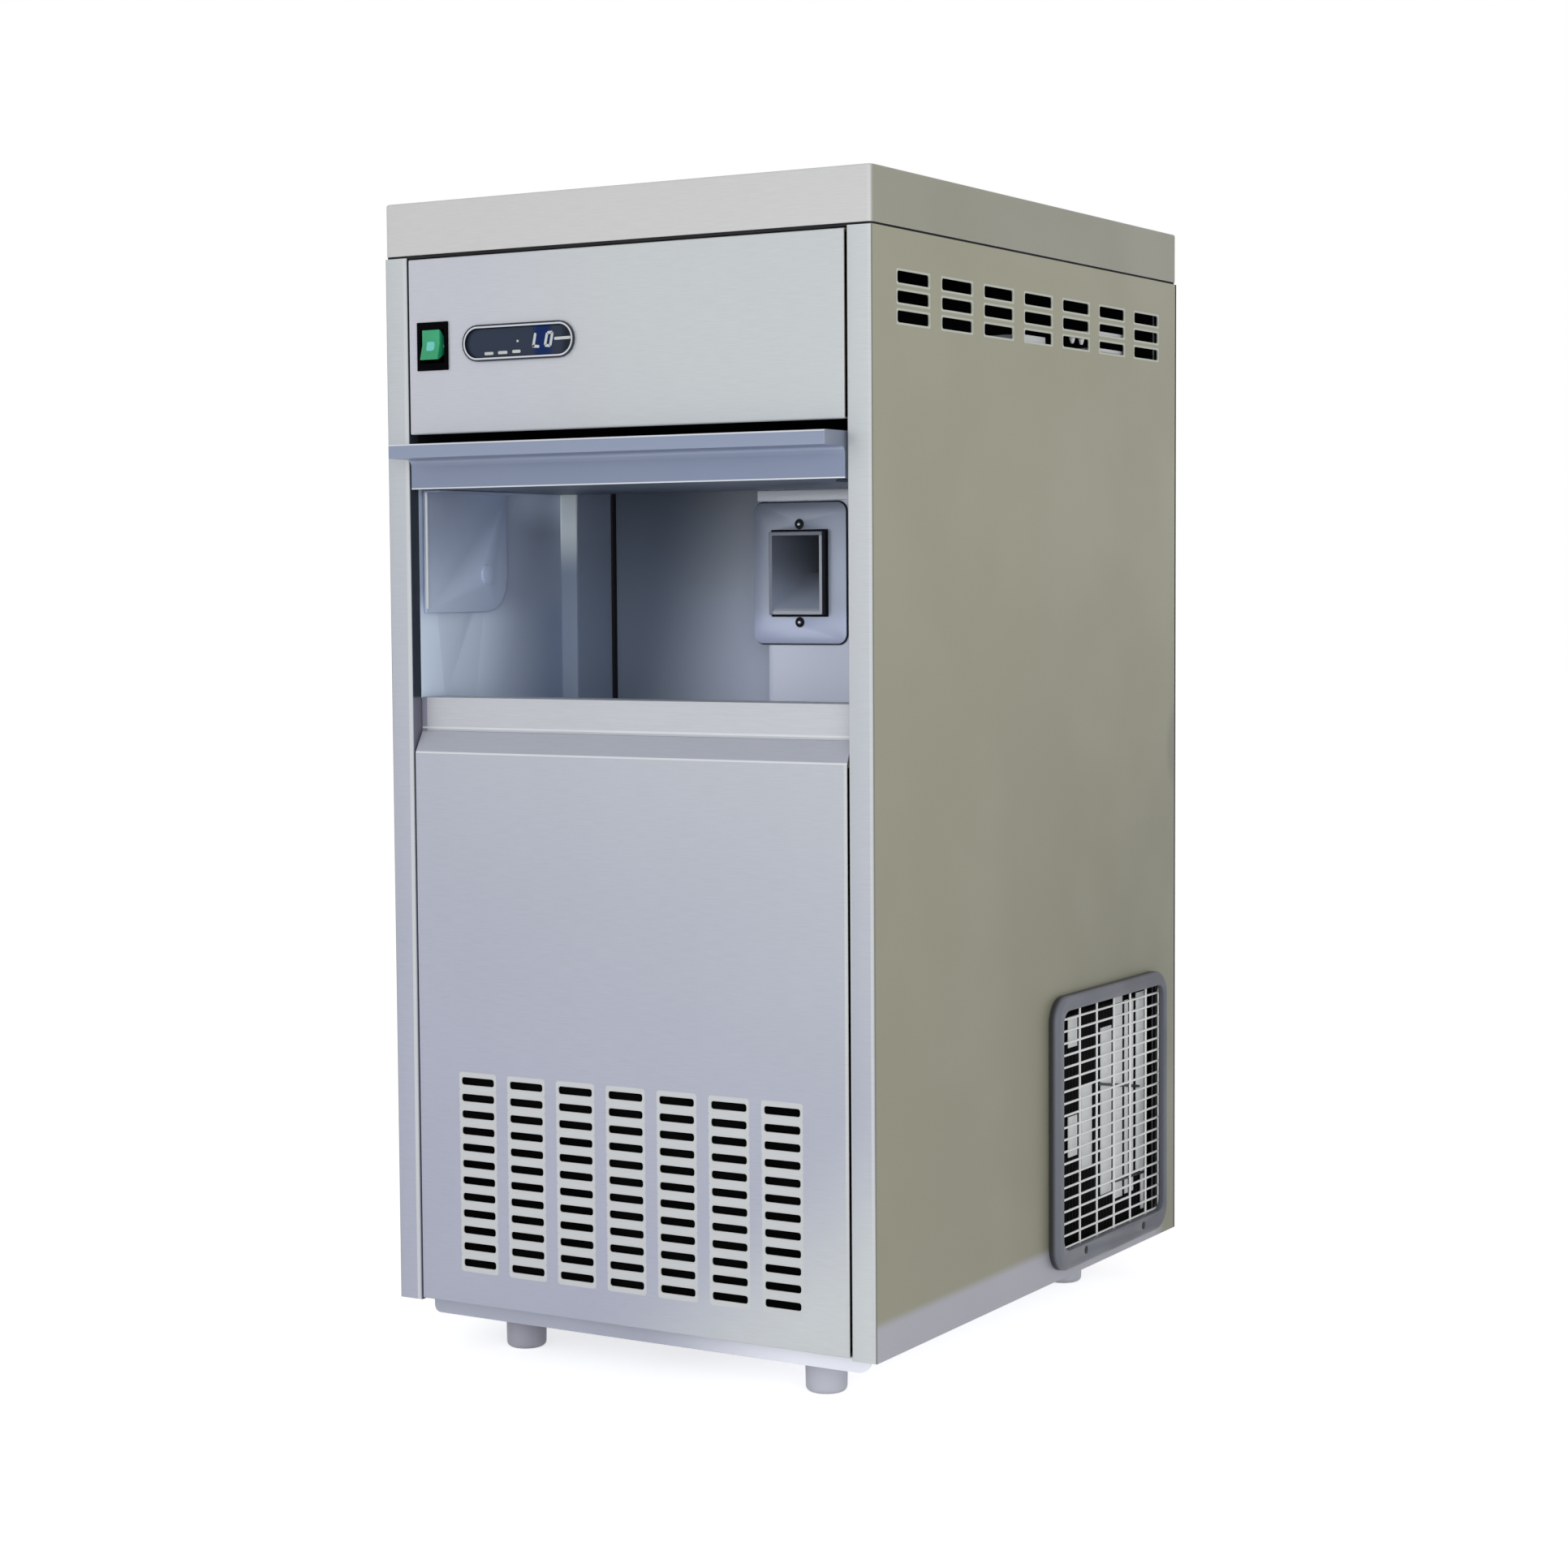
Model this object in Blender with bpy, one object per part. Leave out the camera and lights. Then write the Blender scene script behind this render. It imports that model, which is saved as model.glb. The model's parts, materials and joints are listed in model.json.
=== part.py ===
"""Flake ice maker: a steel cabinet with an ice bin, a swing-up bin door and the ice machine behind it.

All sizes are in metres. Pieces are laid out from the lower left front corner of the cabinet body,
with x to the right, y to the back and z up, and an empty carries that corner to its place in the world.
"""

import math

import bmesh
import bpy
from mathutils import Matrix, Vector

# Clearances and stock that all pieces share
FIT = 0.0003
SEAM = 0.0015
RUNNING_GAP = 0.0006
OVERRUN = 0.002
SHEET = 0.001
ROUND_STEPS = 24
CORNER_STEPS = 4
ROD_STEPS = 10
SMALL_STEPS = 12
AUGER_STEPS = 16

# Cabinet body
CABINET_WIDTH = 0.380
CABINET_DEPTH = 0.472
BODY_HEIGHT = 0.7541
LID_SKIRT = 0.0356
LID_CORNER_RADIUS = 0.004
PILLAR_WIDTH = 0.0185
RECESS_DEPTH = 0.0095
REAR_FLANGE = 0.015
BOTTOM_FLANGE = 0.022
TOP_FLANGE = 0.014
TOP_FRAME_INSET = 0.004
TOP_FRAME_FLANGE = 0.012

# Base pan and feet
PAN_HEIGHT = 0.013
PAN_SHEET = 0.0012
PAN_SIDE_INSET = 0.015
PAN_FRONT_INSET = 0.0195
FOOT_HEIGHT = 0.025
FOOT_TOP_RADIUS = 0.0165
FOOT_BASE_RADIUS = 0.0145
FOOT_EDGE = 0.002
FOOT_SIDE_INSET = 0.0685
FOOT_END_INSET = 0.0546

# Air slots of the lower front panel
SLOT_COLUMNS = 7
SLOT_ROWS = 12
SLOT_WIDTH = 0.026
SLOT_HEIGHT = 0.0045
SLOT_COLUMN_PITCH = 0.0403
SLOT_ROW_PITCH = 0.01145
SLOT_TOP = 0.1585

# Side vents
VENT_COLUMNS = 7
VENT_ROWS = 3
VENT_WIDTH_SHARE = 0.0864
VENT_HEIGHT = 0.0063
VENT_COLUMN_SHARE = 0.128
VENT_ROW_PITCH = 0.01245
VENT_FIRST_SHARE = 0.0714
VENT_TOP = 0.6899

# Back panel vents
BACK_VENT_COLUMNS = 5
BACK_VENT_ROWS = 4
BACK_VENT_PITCH = 0.044
BACK_VENT_LEFT = 0.080
BACK_VENT_TOP = 0.320

# Lower front panel, sill and control panel
LOWER_PANEL_SHOULDER = 0.381
SILL_LEAN_TOP = 0.398
SILL_TOP = 0.4185
SILL_HIDDEN = 0.006
SILL_LIP = 0.010
PANEL_RETURN = 0.014
CONTROL_PANEL_BOTTOM = 0.5957
CONTROL_PANEL_TOP = 0.7157
CONTROL_RETURN = 0.004

# Ice bin
BIN_FLOOR = 0.215
BIN_WALL = 0.001
BIN_FRONT = 0.037
BIN_STEP = 0.013
BIN_STEP_Y = 0.180
BIN_BACK = 0.230
OUTLET_BOX_MARGIN = 0.0048
OUTLET_BOX_Y = 0.190
BIN_DRAIN_RADIUS = 0.011
BIN_DRAIN_X = 0.060
BIN_DRAIN_Y = 0.205
FOAM_BASE = 0.026
FOAM_BACK = 0.021
DECK_LIP = 0.012
DECK_CLEARANCE = 0.003

# Bin door, drawn open
DOOR_OPEN_TOP = 0.590
DOOR_THICKNESS = 0.0295
DOOR_REAR_GAP = 0.0025
DOOR_PROUD = 0.004
DOOR_NOSE_CLEARANCE = 0.0035
HANDLE_REACH = 0.0256
HANDLE_LIP = 0.0095
HANDLE_WALL = 0.002
HANDLE_COVE_RADIUS = 0.005
CHEEK_SHEET = 0.0015
CHEEK_FRONT = 0.0125
CHEEK_BELOW_PIVOT = 0.026
CHEEK_BEHIND_PIVOT = 0.024
CHEEK_FLANGE = 0.014
DOOR_STUD_RADIUS = 0.004
DOOR_STUD_HEAD_RADIUS = 0.007

# Power switch
SWITCH_X = 0.0402
SWITCH_Z = 0.6566
SWITCH_WIDTH = 0.0262
SWITCH_HEIGHT = 0.0326
SWITCH_FLANGE = 0.0012
SWITCH_BODY_DEPTH = 0.020
SWITCH_BODY_MARGIN = 0.0022
ROCKER_WIDTH = 0.0186
ROCKER_HEIGHT = 0.0204
ROCKER_MARGIN = 0.0011
ROCKER_PROUD = 0.0018
ROCKER_DISH = 0.0014
ROCKER_PIVOT_DEPTH = 0.004
ROCKER_PIN_RADIUS = 0.0015
ROCKER_TILT = 8
ROCKER_SIDE_SHARE = 0.98

# Display
DISPLAY_X = 0.11115
DISPLAY_Z = 0.6568
DISPLAY_WIDTH = 0.091
DISPLAY_HEIGHT = 0.0244
DISPLAY_RIM = 0.0023
DISPLAY_PROUD = 0.0015
DISPLAY_DEPTH = 0.006
WINDOW_THICKNESS = 0.002
BOARD_THICKNESS = 0.0016
BOARD_MARGIN = 0.012
BOARD_CHIP = 0.008
CHIP_SHARES = (-0.4, -0.1, 0.25)

# Ice outlet
CHUTE_Z = 0.502
CHUTE_X_SHARE = 0.569
CHUTE_PLATE_WIDTH = 0.0752
CHUTE_PLATE_HEIGHT = 0.0991
CHUTE_PLATE_SHEET = 0.0015
CHUTE_PLATE_RADIUS = 0.007
SPOUT_WIDTH = 0.0434
SPOUT_HEIGHT = 0.0582
SPOUT_WALL = 0.0025
SPOUT_GAP = 0.0015
SPOUT_REACH = 0.006
SPOUT_RAMP_RUN = 0.047
SPOUT_RAMP_RISE = 0.027
CHUTE_SCREW_SPREAD = 0.0345
CHUTE_SCREW_HEAD = 0.0034
CHUTE_SCREW_SHANK = 0.0018
CHUTE_SCREW_HEIGHT = 0.0018

# Evaporator and auger
BARREL_BORE_RADIUS = 0.031
BARREL_WALL = 0.005
BARREL_FLOOR = 0.008
BARREL_ABOVE_SPOUT = 0.014
JACKET_THICKNESS = 0.018
JACKET_BOTTOM_GAP = 0.030
JACKET_TOP_GAP = 0.015
AUGER_SHAFT_RADIUS = 0.010
AUGER_FLIGHT_GAP = 0.0012
AUGER_FLIGHT_SHEET = 0.005
AUGER_PITCH = 0.042
AUGER_STEPS_PER_TURN = 10
AUGER_START_SHARE = 0.15
AUGER_JOURNAL_RADIUS = 0.008
AUGER_HEAD_PLUG = 0.014
AUGER_HEAD_FLANGE = 0.006
AUGER_JOURNAL = 0.016

# Drive under the evaporator
GEAR_MODULE = 0.0015
DRIVE_TEETH = 48
PINION_TEETH = 12
GEAR_WIDTH = 0.024
GEAR_END_GAP = 0.002
GEAR_TIP_GAP = 0.003
TOOTH_DEPTH_SHARES = (-1.2, 0.85)
TOOTH_WIDTH_SHARES = (0.33, 0.13)
GEARBOX_WALL = 0.005
GEARBOX_FLOOR = 0.008
GEARBOX_COVER = 0.006
SHAFT_POCKET = 0.004
BARREL_STAND_HEIGHT = 0.040
BARREL_STAND_RADIUS = 0.030
BARREL_STAND_WALL = 0.012
BARREL_STAND_FLANGE = 0.006
STAND_HEIGHT = 0.112
STAND_SHEET = 0.003
STAND_FOOT = 0.015
MOTOR_RADIUS = 0.042
MOTOR_HEIGHT = 0.080
MOTOR_SHAFT_RADIUS = 0.005
MOTOR_SHAFT_DEPTH = 0.045

# Compressor
COMPRESSOR_X_SHARE = 0.3026
COMPRESSOR_Y = 0.130
COMPRESSOR_RADIUS = 0.072
COMPRESSOR_HEIGHT = 0.168
COMPRESSOR_DOME = 0.040
COMPRESSOR_WALL = 0.010
COMPRESSOR_MOUTH_RADIUS = 0.030
COMPRESSOR_SEAM_LIP = 0.003
COMPRESSOR_SEAM_Z = 0.090
COMPRESSOR_PLATE = 0.004
COMPRESSOR_PLATE_WIDTH = 0.170
COMPRESSOR_PLATE_DEPTH = 0.120
COMPRESSOR_MOUNT_RADIUS = 0.012
COMPRESSOR_MOUNT_HEIGHT = 0.014
COMPRESSOR_PORT_RADIUS = 0.005
COMPRESSOR_PORT_LENGTH = 0.012
DISCHARGE_PORT_HEIGHT = 0.112
SUCTION_PORT_HEIGHT = 0.054
SUCTION_PORT_OFFSET = 0.024

# Condenser, fan and grille
GRILLE_REAR_INSET = 0.0306
GRILLE_Z = 0.0075
GRILLE_WIDTH = 0.1914
GRILLE_HEIGHT = 0.1955
GRILLE_PROUD = 0.008
GRILLE_CORNER_RADIUS = 0.018
GRILLE_BORDER_SIDE = 0.009
GRILLE_BORDER_TOP = 0.010
GRILLE_BORDER_BOTTOM = 0.0145
GRILLE_LIP = 0.004
GRILLE_REBATE = 0.003
MESH_WIRE = 0.0018
MESH_COLUMNS = 6
MESH_ROWS = 21
CONDENSER_GAP = 0.004
CONDENSER_THICKNESS_SHARE = 0.079
CONDENSER_REAR_INSET = 0.045
CONDENSER_WIDTH = 0.179
CONDENSER_FINS = 18
CONDENSER_FIN = 0.0022
CONDENSER_PLATE = 0.004
FAN_RADIUS = 0.076
FAN_TIP_GAP = 0.004
FAN_BLADES = 5
FAN_BLADE_WIDTH = 0.052
FAN_BLADE_SHEET = 0.002
FAN_BLADE_PITCH = 28
FAN_HUB_RADIUS = 0.016
FAN_HUB_LENGTH_SHARE = 0.0684
FAN_MOTOR_GAP = 0.003
FAN_SHAFT_RADIUS = 0.004
FAN_SHAFT_LENGTH = 0.018
FAN_MOTOR_RADIUS = 0.032
FAN_MOTOR_LENGTH_SHARE = 0.0737
SHROUD_SHEET = 0.002
SHROUD_LIP = 0.010
SHROUD_BRACKET_WIDTH = 0.030

# Refrigerant pipes and drier
PIPE_RADIUS = 0.0035
CAPILLARY_RADIUS = 0.002
DRIER_RADIUS = 0.011
DRIER_LENGTH = 0.090
DRIER_NECK = 0.012
DRIER_NECK_RADIUS = 0.005
DRIER_X = 0.055
DRIER_Y = 0.420
DRIER_Z = 0.062

# Pipe and hose routes, as shares of the way between their ends in x, y and z
PIPE_BEND = 0.016
PIPE_HEADER_DROP = 0.020
PIPE_LANE_GAP = 0.016
JACKET_PORT_GAP = 0.020
HOSE_LEAD = 0.024
DISCHARGE_SHARES = ((0, 0, 0), (0.12, 0, 0), (0.45, 0.1, 0.15), (0.82, 0.32, 0.7), (0.98, 0.62, 1),
                    (1, 0.85, 1),
                    (1, 1, 1))
LANE_SHARES = ((0, 0, 0), (0.35, 0, 0), (0.7, 0, 0), (1, 0, 0))
CAPILLARY_SHARES = ((0, 0, 0), (0, 0, 0.2), (0.06, 0.06, 0.5), (0.3, 0.3, 0.85), (0.7, 0.7, 1))
CAPILLARY_SIDE_SHARES = (-0.75, 0.66)
SUCTION_SHARES = ((0.45, 0.05, 0.04), (0.8, 0.2, 0.2), (0.95, 0.35, 0.45), (1, 0.42, 0.7), (1, 0.6, 0.9))
FEED_SHARES = ((0, 0, 0), (0, 0, 0.15), (0.1, 0.1, 0.5), (0.4, 0.4, 0.85), (0.75, 0.75, 0.99))
FEED_SIDE_SHARES = (-0.94, 0.34)
DRAIN_SHARES = ((0, 0, 0), (0, 0.01, 0.2), (0.02, 0.12, 0.45), (0.15, 0.4, 0.8), (0.5, 0.68, 0.97),
                (0.88, 0.86, 1),
                (1, 0.94, 1), (1, 1, 1))

# Water system
TANK_X = 0.040
TANK_WIDTH = 0.090
TANK_DEPTH = 0.085
TANK_BOTTOM = 0.430
TANK_HEIGHT = 0.090
TANK_WALL = 0.002
TANK_LID_LIP = 0.004
TANK_SPIGOT_RADIUS = 0.006
TANK_SPIGOT_LENGTH = 0.012
FLOAT_RADIUS = 0.015
FLOAT_HEIGHT = 0.016
FLOAT_ARM_LENGTH = 0.042
FLOAT_ARM_RADIUS = 0.0015
FLOAT_RISE = 0.003
FLOAT_DROOP = 12
VALVE_BODY_LENGTH = 0.014
VALVE_BODY_WIDTH = 0.016
VALVE_EAR = 0.003
VALVE_EAR_HEIGHT = 0.012
VALVE_THREAD_RADIUS = 0.0104
VALVE_NUT_RADIUS = 0.015
VALVE_BORE_RADIUS = 0.006
REAR_REACH = 0.016
HOSE_RADIUS = 0.005
DRAIN_HOSE_RADIUS = 0.008
DRAIN_X = 0.150
DRAIN_Z = 0.040
DRAIN_BORE_RADIUS = 0.006
DRAIN_FLANGE = 0.003
DRAIN_FLANGE_RADIUS = 0.013
DRAIN_SPIGOT_INSIDE = 0.016
GLAND_X = 0.235
GLAND_Z = 0.040
GLAND_RADIUS = 0.009
GLAND_BORE_RADIUS = 0.0045
GLAND_REACH = 0.010
GLAND_STEP = 0.003

# Places worked out from the sizes above
SIDE_TOP = BODY_HEIGHT - LID_SKIRT - SEAM
SIDE_BACK = CABINET_DEPTH - SHEET - FIT
VENT_WIDTH = CABINET_DEPTH * VENT_WIDTH_SHARE
VENT_COLUMN_PITCH = CABINET_DEPTH * VENT_COLUMN_SHARE
VENT_FIRST_Y = CABINET_DEPTH * VENT_FIRST_SHARE
PANEL_LEFT = PILLAR_WIDTH + SEAM
PANEL_RIGHT = CABINET_WIDTH - PANEL_LEFT
BIN_LEFT = PILLAR_WIDTH
BIN_RIGHT = CABINET_WIDTH - PILLAR_WIDTH
LINER_FRONT = RECESS_DEPTH + FIT
CHUTE_X = CABINET_WIDTH * CHUTE_X_SHARE
OUTLET_BOX_X = CHUTE_X - SPOUT_WIDTH / 2 - OUTLET_BOX_MARGIN
PAN_TOP = PAN_SHEET - PAN_HEIGHT
PIVOT_DROP = (DOOR_OPEN_TOP - SILL_TOP - FIT + DOOR_PROUD) / 2
PIVOT_Y = PIVOT_DROP - DOOR_PROUD
PIVOT_Z = DOOR_OPEN_TOP - PIVOT_DROP
DOOR_SWEEP = math.hypot(PIVOT_Y, CONTROL_PANEL_BOTTOM - PIVOT_Z) - DOOR_NOSE_CLEARANCE
DOOR_NOSE_Y = PIVOT_Y + math.sqrt(DOOR_SWEEP ** 2 - PIVOT_DROP ** 2)
DOOR_BACK = BIN_STEP_Y - DOOR_REAR_GAP
DECK_Z = PIVOT_Z + DOOR_SWEEP + DECK_CLEARANCE
FOAM_TOP = DECK_Z - FIT
FOAM_BOTTOM = BIN_FLOOR - BIN_WALL - FOAM_BASE
FOAM_REAR = BIN_BACK + BIN_WALL + FOAM_BACK
BARREL_RADIUS = BARREL_BORE_RADIUS + BARREL_WALL
JACKET_RADIUS = BARREL_RADIUS + JACKET_THICKNESS
AUGER_X = CHUTE_X
AUGER_Y = FOAM_REAR + FIT + JACKET_RADIUS
GEAR_CENTRES = GEAR_MODULE * (DRIVE_TEETH + PINION_TEETH) / 2
MOTOR_X = AUGER_X - GEAR_CENTRES
GEARBOX_BOTTOM = PAN_TOP + FIT + STAND_HEIGHT + FIT
GEARBOX_BORE = GEAR_MODULE * (DRIVE_TEETH + 2) / 2 + GEAR_TIP_GAP
GEARBOX_RADIUS = GEARBOX_BORE + GEARBOX_WALL
GEARBOX_TOP = GEARBOX_BOTTOM + GEARBOX_FLOOR + GEAR_WIDTH + 2 * GEAR_END_GAP
GEAR_BOTTOM = GEARBOX_BOTTOM + GEARBOX_FLOOR + GEAR_END_GAP
STAND_TOP = GEARBOX_TOP + FIT + GEARBOX_COVER + BARREL_STAND_HEIGHT
BARREL_BOTTOM = STAND_TOP + FIT
SPOUT_BOTTOM = CHUTE_Z - SPOUT_HEIGHT / 2
SPOUT_TOP = CHUTE_Z + SPOUT_HEIGHT / 2
BARREL_TOP = SPOUT_TOP + BARREL_ABOVE_SPOUT
JACKET_BOTTOM = BARREL_BOTTOM + JACKET_BOTTOM_GAP
JACKET_TOP = SPOUT_BOTTOM - JACKET_TOP_GAP
GRILLE_Y = CABINET_DEPTH - GRILLE_REAR_INSET - GRILLE_WIDTH
CONDENSER_THICKNESS = CABINET_WIDTH * CONDENSER_THICKNESS_SHARE
CONDENSER_RIGHT = CABINET_WIDTH - SHEET - CONDENSER_GAP
CONDENSER_LEFT = CONDENSER_RIGHT - CONDENSER_THICKNESS
CONDENSER_BACK = CABINET_DEPTH - CONDENSER_REAR_INSET
CONDENSER_FRONT = CONDENSER_BACK - CONDENSER_WIDTH
CONDENSER_BOTTOM = SHEET + FIT
CONDENSER_TOP = FOAM_BOTTOM - FIT
FAN_Y = (CONDENSER_FRONT + CONDENSER_BACK) / 2
FAN_Z = (CONDENSER_BOTTOM + CONDENSER_TOP) / 2
SHROUD_X = CONDENSER_LEFT - FIT
FAN_HUB_LENGTH = CABINET_WIDTH * FAN_HUB_LENGTH_SHARE
FAN_MOTOR_LENGTH = CABINET_WIDTH * FAN_MOTOR_LENGTH_SHARE
FAN_HUB_RIGHT = SHROUD_X - SHROUD_SHEET - SHROUD_LIP / 2
FAN_HUB_LEFT = FAN_HUB_RIGHT - FAN_HUB_LENGTH
MOTOR_FACE_X = FAN_HUB_LEFT - FAN_MOTOR_GAP
BRACKET_X = MOTOR_FACE_X - FAN_MOTOR_LENGTH - FIT
COMPRESSOR_X = CABINET_WIDTH * COMPRESSOR_X_SHARE
COMPRESSOR_PLATE_Z = PAN_TOP + FIT + COMPRESSOR_MOUNT_HEIGHT
DISCHARGE_PORT_Z = COMPRESSOR_PLATE_Z + DISCHARGE_PORT_HEIGHT
SUCTION_PORT_Z = COMPRESSOR_PLATE_Z + SUCTION_PORT_HEIGHT
SUCTION_PORT_X = COMPRESSOR_X - SUCTION_PORT_OFFSET
TANK_BACK = CABINET_DEPTH - SHEET - FIT
TANK_FRONT = TANK_BACK - TANK_DEPTH
TANK_RIM = TANK_BOTTOM + TANK_HEIGHT
VALVE_X = TANK_X + TANK_WIDTH / 2
VALVE_Z = TANK_RIM - VALVE_NUT_RADIUS - TANK_WALL
FLOAT_PIVOT_Y = TANK_BACK - TANK_WALL - FIT - VALVE_BODY_LENGTH - VALVE_EAR_HEIGHT / 2
FLOAT_PIVOT_Z = VALVE_Z - VALVE_BODY_WIDTH / 2

# Finishes: colour, roughness and metallic value
FINISHES = {
    "satin_steel": ((0.55, 0.57, 0.58), 0.38, 1.0),
    "bin_steel": ((0.50, 0.54, 0.60), 0.30, 1.0),
    "galvanised": ((0.50, 0.51, 0.52), 0.45, 1.0),
    "handle_alloy": ((0.42, 0.46, 0.56), 0.40, 0.8),
    "black_plastic": ((0.02, 0.02, 0.022), 0.45, 0.0),
    "green_rocker": ((0.03, 0.38, 0.18), 0.30, 0.0),
    "silver_trim": ((0.60, 0.61, 0.63), 0.30, 1.0),
    "dark_window": ((0.03, 0.045, 0.09), 0.15, 0.0),
    "circuit_board": ((0.02, 0.16, 0.07), 0.50, 0.0),
    "white_foam": ((0.82, 0.81, 0.76), 0.85, 0.0),
    "white_plastic": ((0.75, 0.76, 0.77), 0.45, 0.0),
    "grey_plastic": ((0.16, 0.17, 0.20), 0.50, 0.0),
    "foot_plastic": ((0.44, 0.44, 0.52), 0.50, 0.0),
    "cast_alloy": ((0.50, 0.51, 0.53), 0.50, 0.9),
    "black_enamel": ((0.015, 0.015, 0.017), 0.35, 0.2),
    "fin_alloy": ((0.62, 0.63, 0.65), 0.35, 1.0),
    "copper": ((0.60, 0.27, 0.13), 0.30, 1.0),
    "brass": ((0.60, 0.45, 0.18), 0.30, 1.0),
    "clear_hose": ((0.65, 0.68, 0.70), 0.30, 0.0),
}


def clear_scene():
    for item in list(bpy.data.objects):
        bpy.data.objects.remove(item, do_unlink=True)


def finish(slot):
    """The Principled material of one finish, made once."""
    material = bpy.data.materials.get(slot)
    if material is None:
        colour, roughness, metallic = FINISHES[slot]
        material = bpy.data.materials.new(slot)
        material.use_nodes = True
        shader = material.node_tree.nodes["Principled BSDF"]
        shader.inputs["Base Color"].default_value = (*colour, 1.0)
        shader.inputs["Roughness"].default_value = roughness
        shader.inputs["Metallic"].default_value = metallic
        material.diffuse_color = (*colour, 1.0)
    return material


def place(name, body, slot, origin=(0, 0, 0)):
    """Makes a named object of a bmesh drawn in cabinet places, with its own origin."""
    bmesh.ops.recalc_face_normals(body, faces=body.faces)
    bmesh.ops.translate(body, verts=body.verts, vec=-Vector(origin))
    mesh = bpy.data.meshes.new(name)
    body.to_mesh(mesh)
    body.free()
    mesh.shade_smooth()
    mesh.set_sharp_from_angle(angle=math.radians(30))
    piece = bpy.data.objects.new(name, mesh)
    piece.location = origin
    piece.data.materials.append(finish(slot))
    piece.parent = CABINET
    bpy.context.collection.objects.link(piece)
    return piece


def solid(points, faces):
    body = bmesh.new()
    vertices = [body.verts.new(point) for point in points]
    for face in faces:
        body.faces.new([vertices[index] for index in face])
    bmesh.ops.recalc_face_normals(body, faces=body.faces)
    return body


def prism(outline, axis, start, end):
    """An outline pushed along an axis: (y, z) along X, (x, z) along Y, (x, y) along Z."""
    def point(pair, level):
        first, second = pair
        return {"X": (level, first, second), "Y": (first, level, second), "Z": (first, second, level)}[axis]

    count = len(outline)
    points = [point(pair, level) for level in (start, end) for pair in outline]
    sides = [(i, (i + 1) % count, (i + 1) % count + count, i + count) for i in range(count)]
    return solid(points, [tuple(range(count)), tuple(range(count, 2 * count)), *sides])


def box(low, high):
    corners = [(low[0], low[1]), (high[0], low[1]), (high[0], high[1]), (low[0], high[1])]
    return prism(corners, "Z", low[2], high[2])


def turned(profile, centre, axis="Z", steps=ROUND_STEPS):
    """A solid turned from (radius, height) points; a profile that leaves the axis is a closed ring."""
    turn = {"X": Matrix.Rotation(math.pi / 2, 3, "Y"), "Y": Matrix.Rotation(-math.pi / 2, 3, "X"),
            "Z": Matrix.Identity(3)}[axis]
    on_axis = profile[0][0] == 0
    rows = []
    points = []
    for radius, height in profile:
        if radius == 0:
            rows.append([len(points)] * steps)
            points.append((0, 0, height))
            continue
        rows.append([len(points) + step for step in range(steps)])
        points.extend((radius * math.cos(math.tau * step / steps), radius * math.sin(math.tau * step / steps),
                       height) for step in range(steps))
    pairs = list(zip(rows, rows[1:])) if on_axis else list(zip(rows, rows[1:] + rows[:1]))
    faces = []
    for low, high in pairs:
        for step in range(steps):
            following = (step + 1) % steps
            loop = [low[step], low[following], high[following], high[step]]
            faces.append(tuple(dict.fromkeys(loop)))
    return solid([turn @ Vector(point) + Vector(centre) for point in points], faces)


def cylinder(radius, centre, start, end, axis="Z", steps=ROUND_STEPS):
    return turned([(0, start), (radius, start), (radius, end), (0, end)], centre, axis, steps)


def ring(inner, outer, centre, start, end, axis="Z", steps=ROUND_STEPS):
    return turned([(inner, start), (outer, start), (outer, end), (inner, end)], centre, axis, steps)


def arc(centre, radius, start, end, steps):
    """Points on a round stretch, from the start to the end angle in degrees."""
    angles = [math.radians(start + (end - start) * step / steps) for step in range(steps + 1)]
    return [(centre[0] + radius * math.cos(angle), centre[1] + radius * math.sin(angle)) for angle in angles]


def rounded(low, high, radius, steps=CORNER_STEPS):
    """A rectangle with round corners."""
    corners = [((high[0] - radius, high[1] - radius), 0), ((low[0] + radius, high[1] - radius), 90),
               ((low[0] + radius, low[1] + radius), 180), ((high[0] - radius, low[1] + radius), 270)]
    return [point for centre, start in corners for point in arc(centre, radius, start, start + 90, steps)]


def rectangle(low, high):
    return [low, (high[0], low[1]), high, (low[0], high[1])]


def bent_sheet(path, thickness):
    """The outline of a sheet bent along a path, with its thickness to the left of the path."""
    inner = []
    for index, (x, y) in enumerate(path):
        before = Vector(path[max(index - 1, 0)])
        after = Vector(path[min(index + 1, len(path) - 1)])
        here = Vector((x, y))
        arriving = (here - before).normalized() if index else (after - here).normalized()
        leaving = (after - here).normalized() if index < len(path) - 1 else arriving
        left = (arriving + leaving).normalized().orthogonal()
        stretch = thickness / left.dot(arriving.orthogonal())
        inner.append(tuple(here + left * stretch))
    return list(path) + inner[::-1]


def join(*bodies):
    """Several bmeshes in one, left as they are; used for cutters that do not touch."""
    whole = bmesh.new()
    for body in bodies:
        mesh = bpy.data.meshes.new("part")
        body.to_mesh(mesh)
        body.free()
        whole.from_mesh(mesh)
        bpy.data.meshes.remove(mesh)
    return whole


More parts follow.
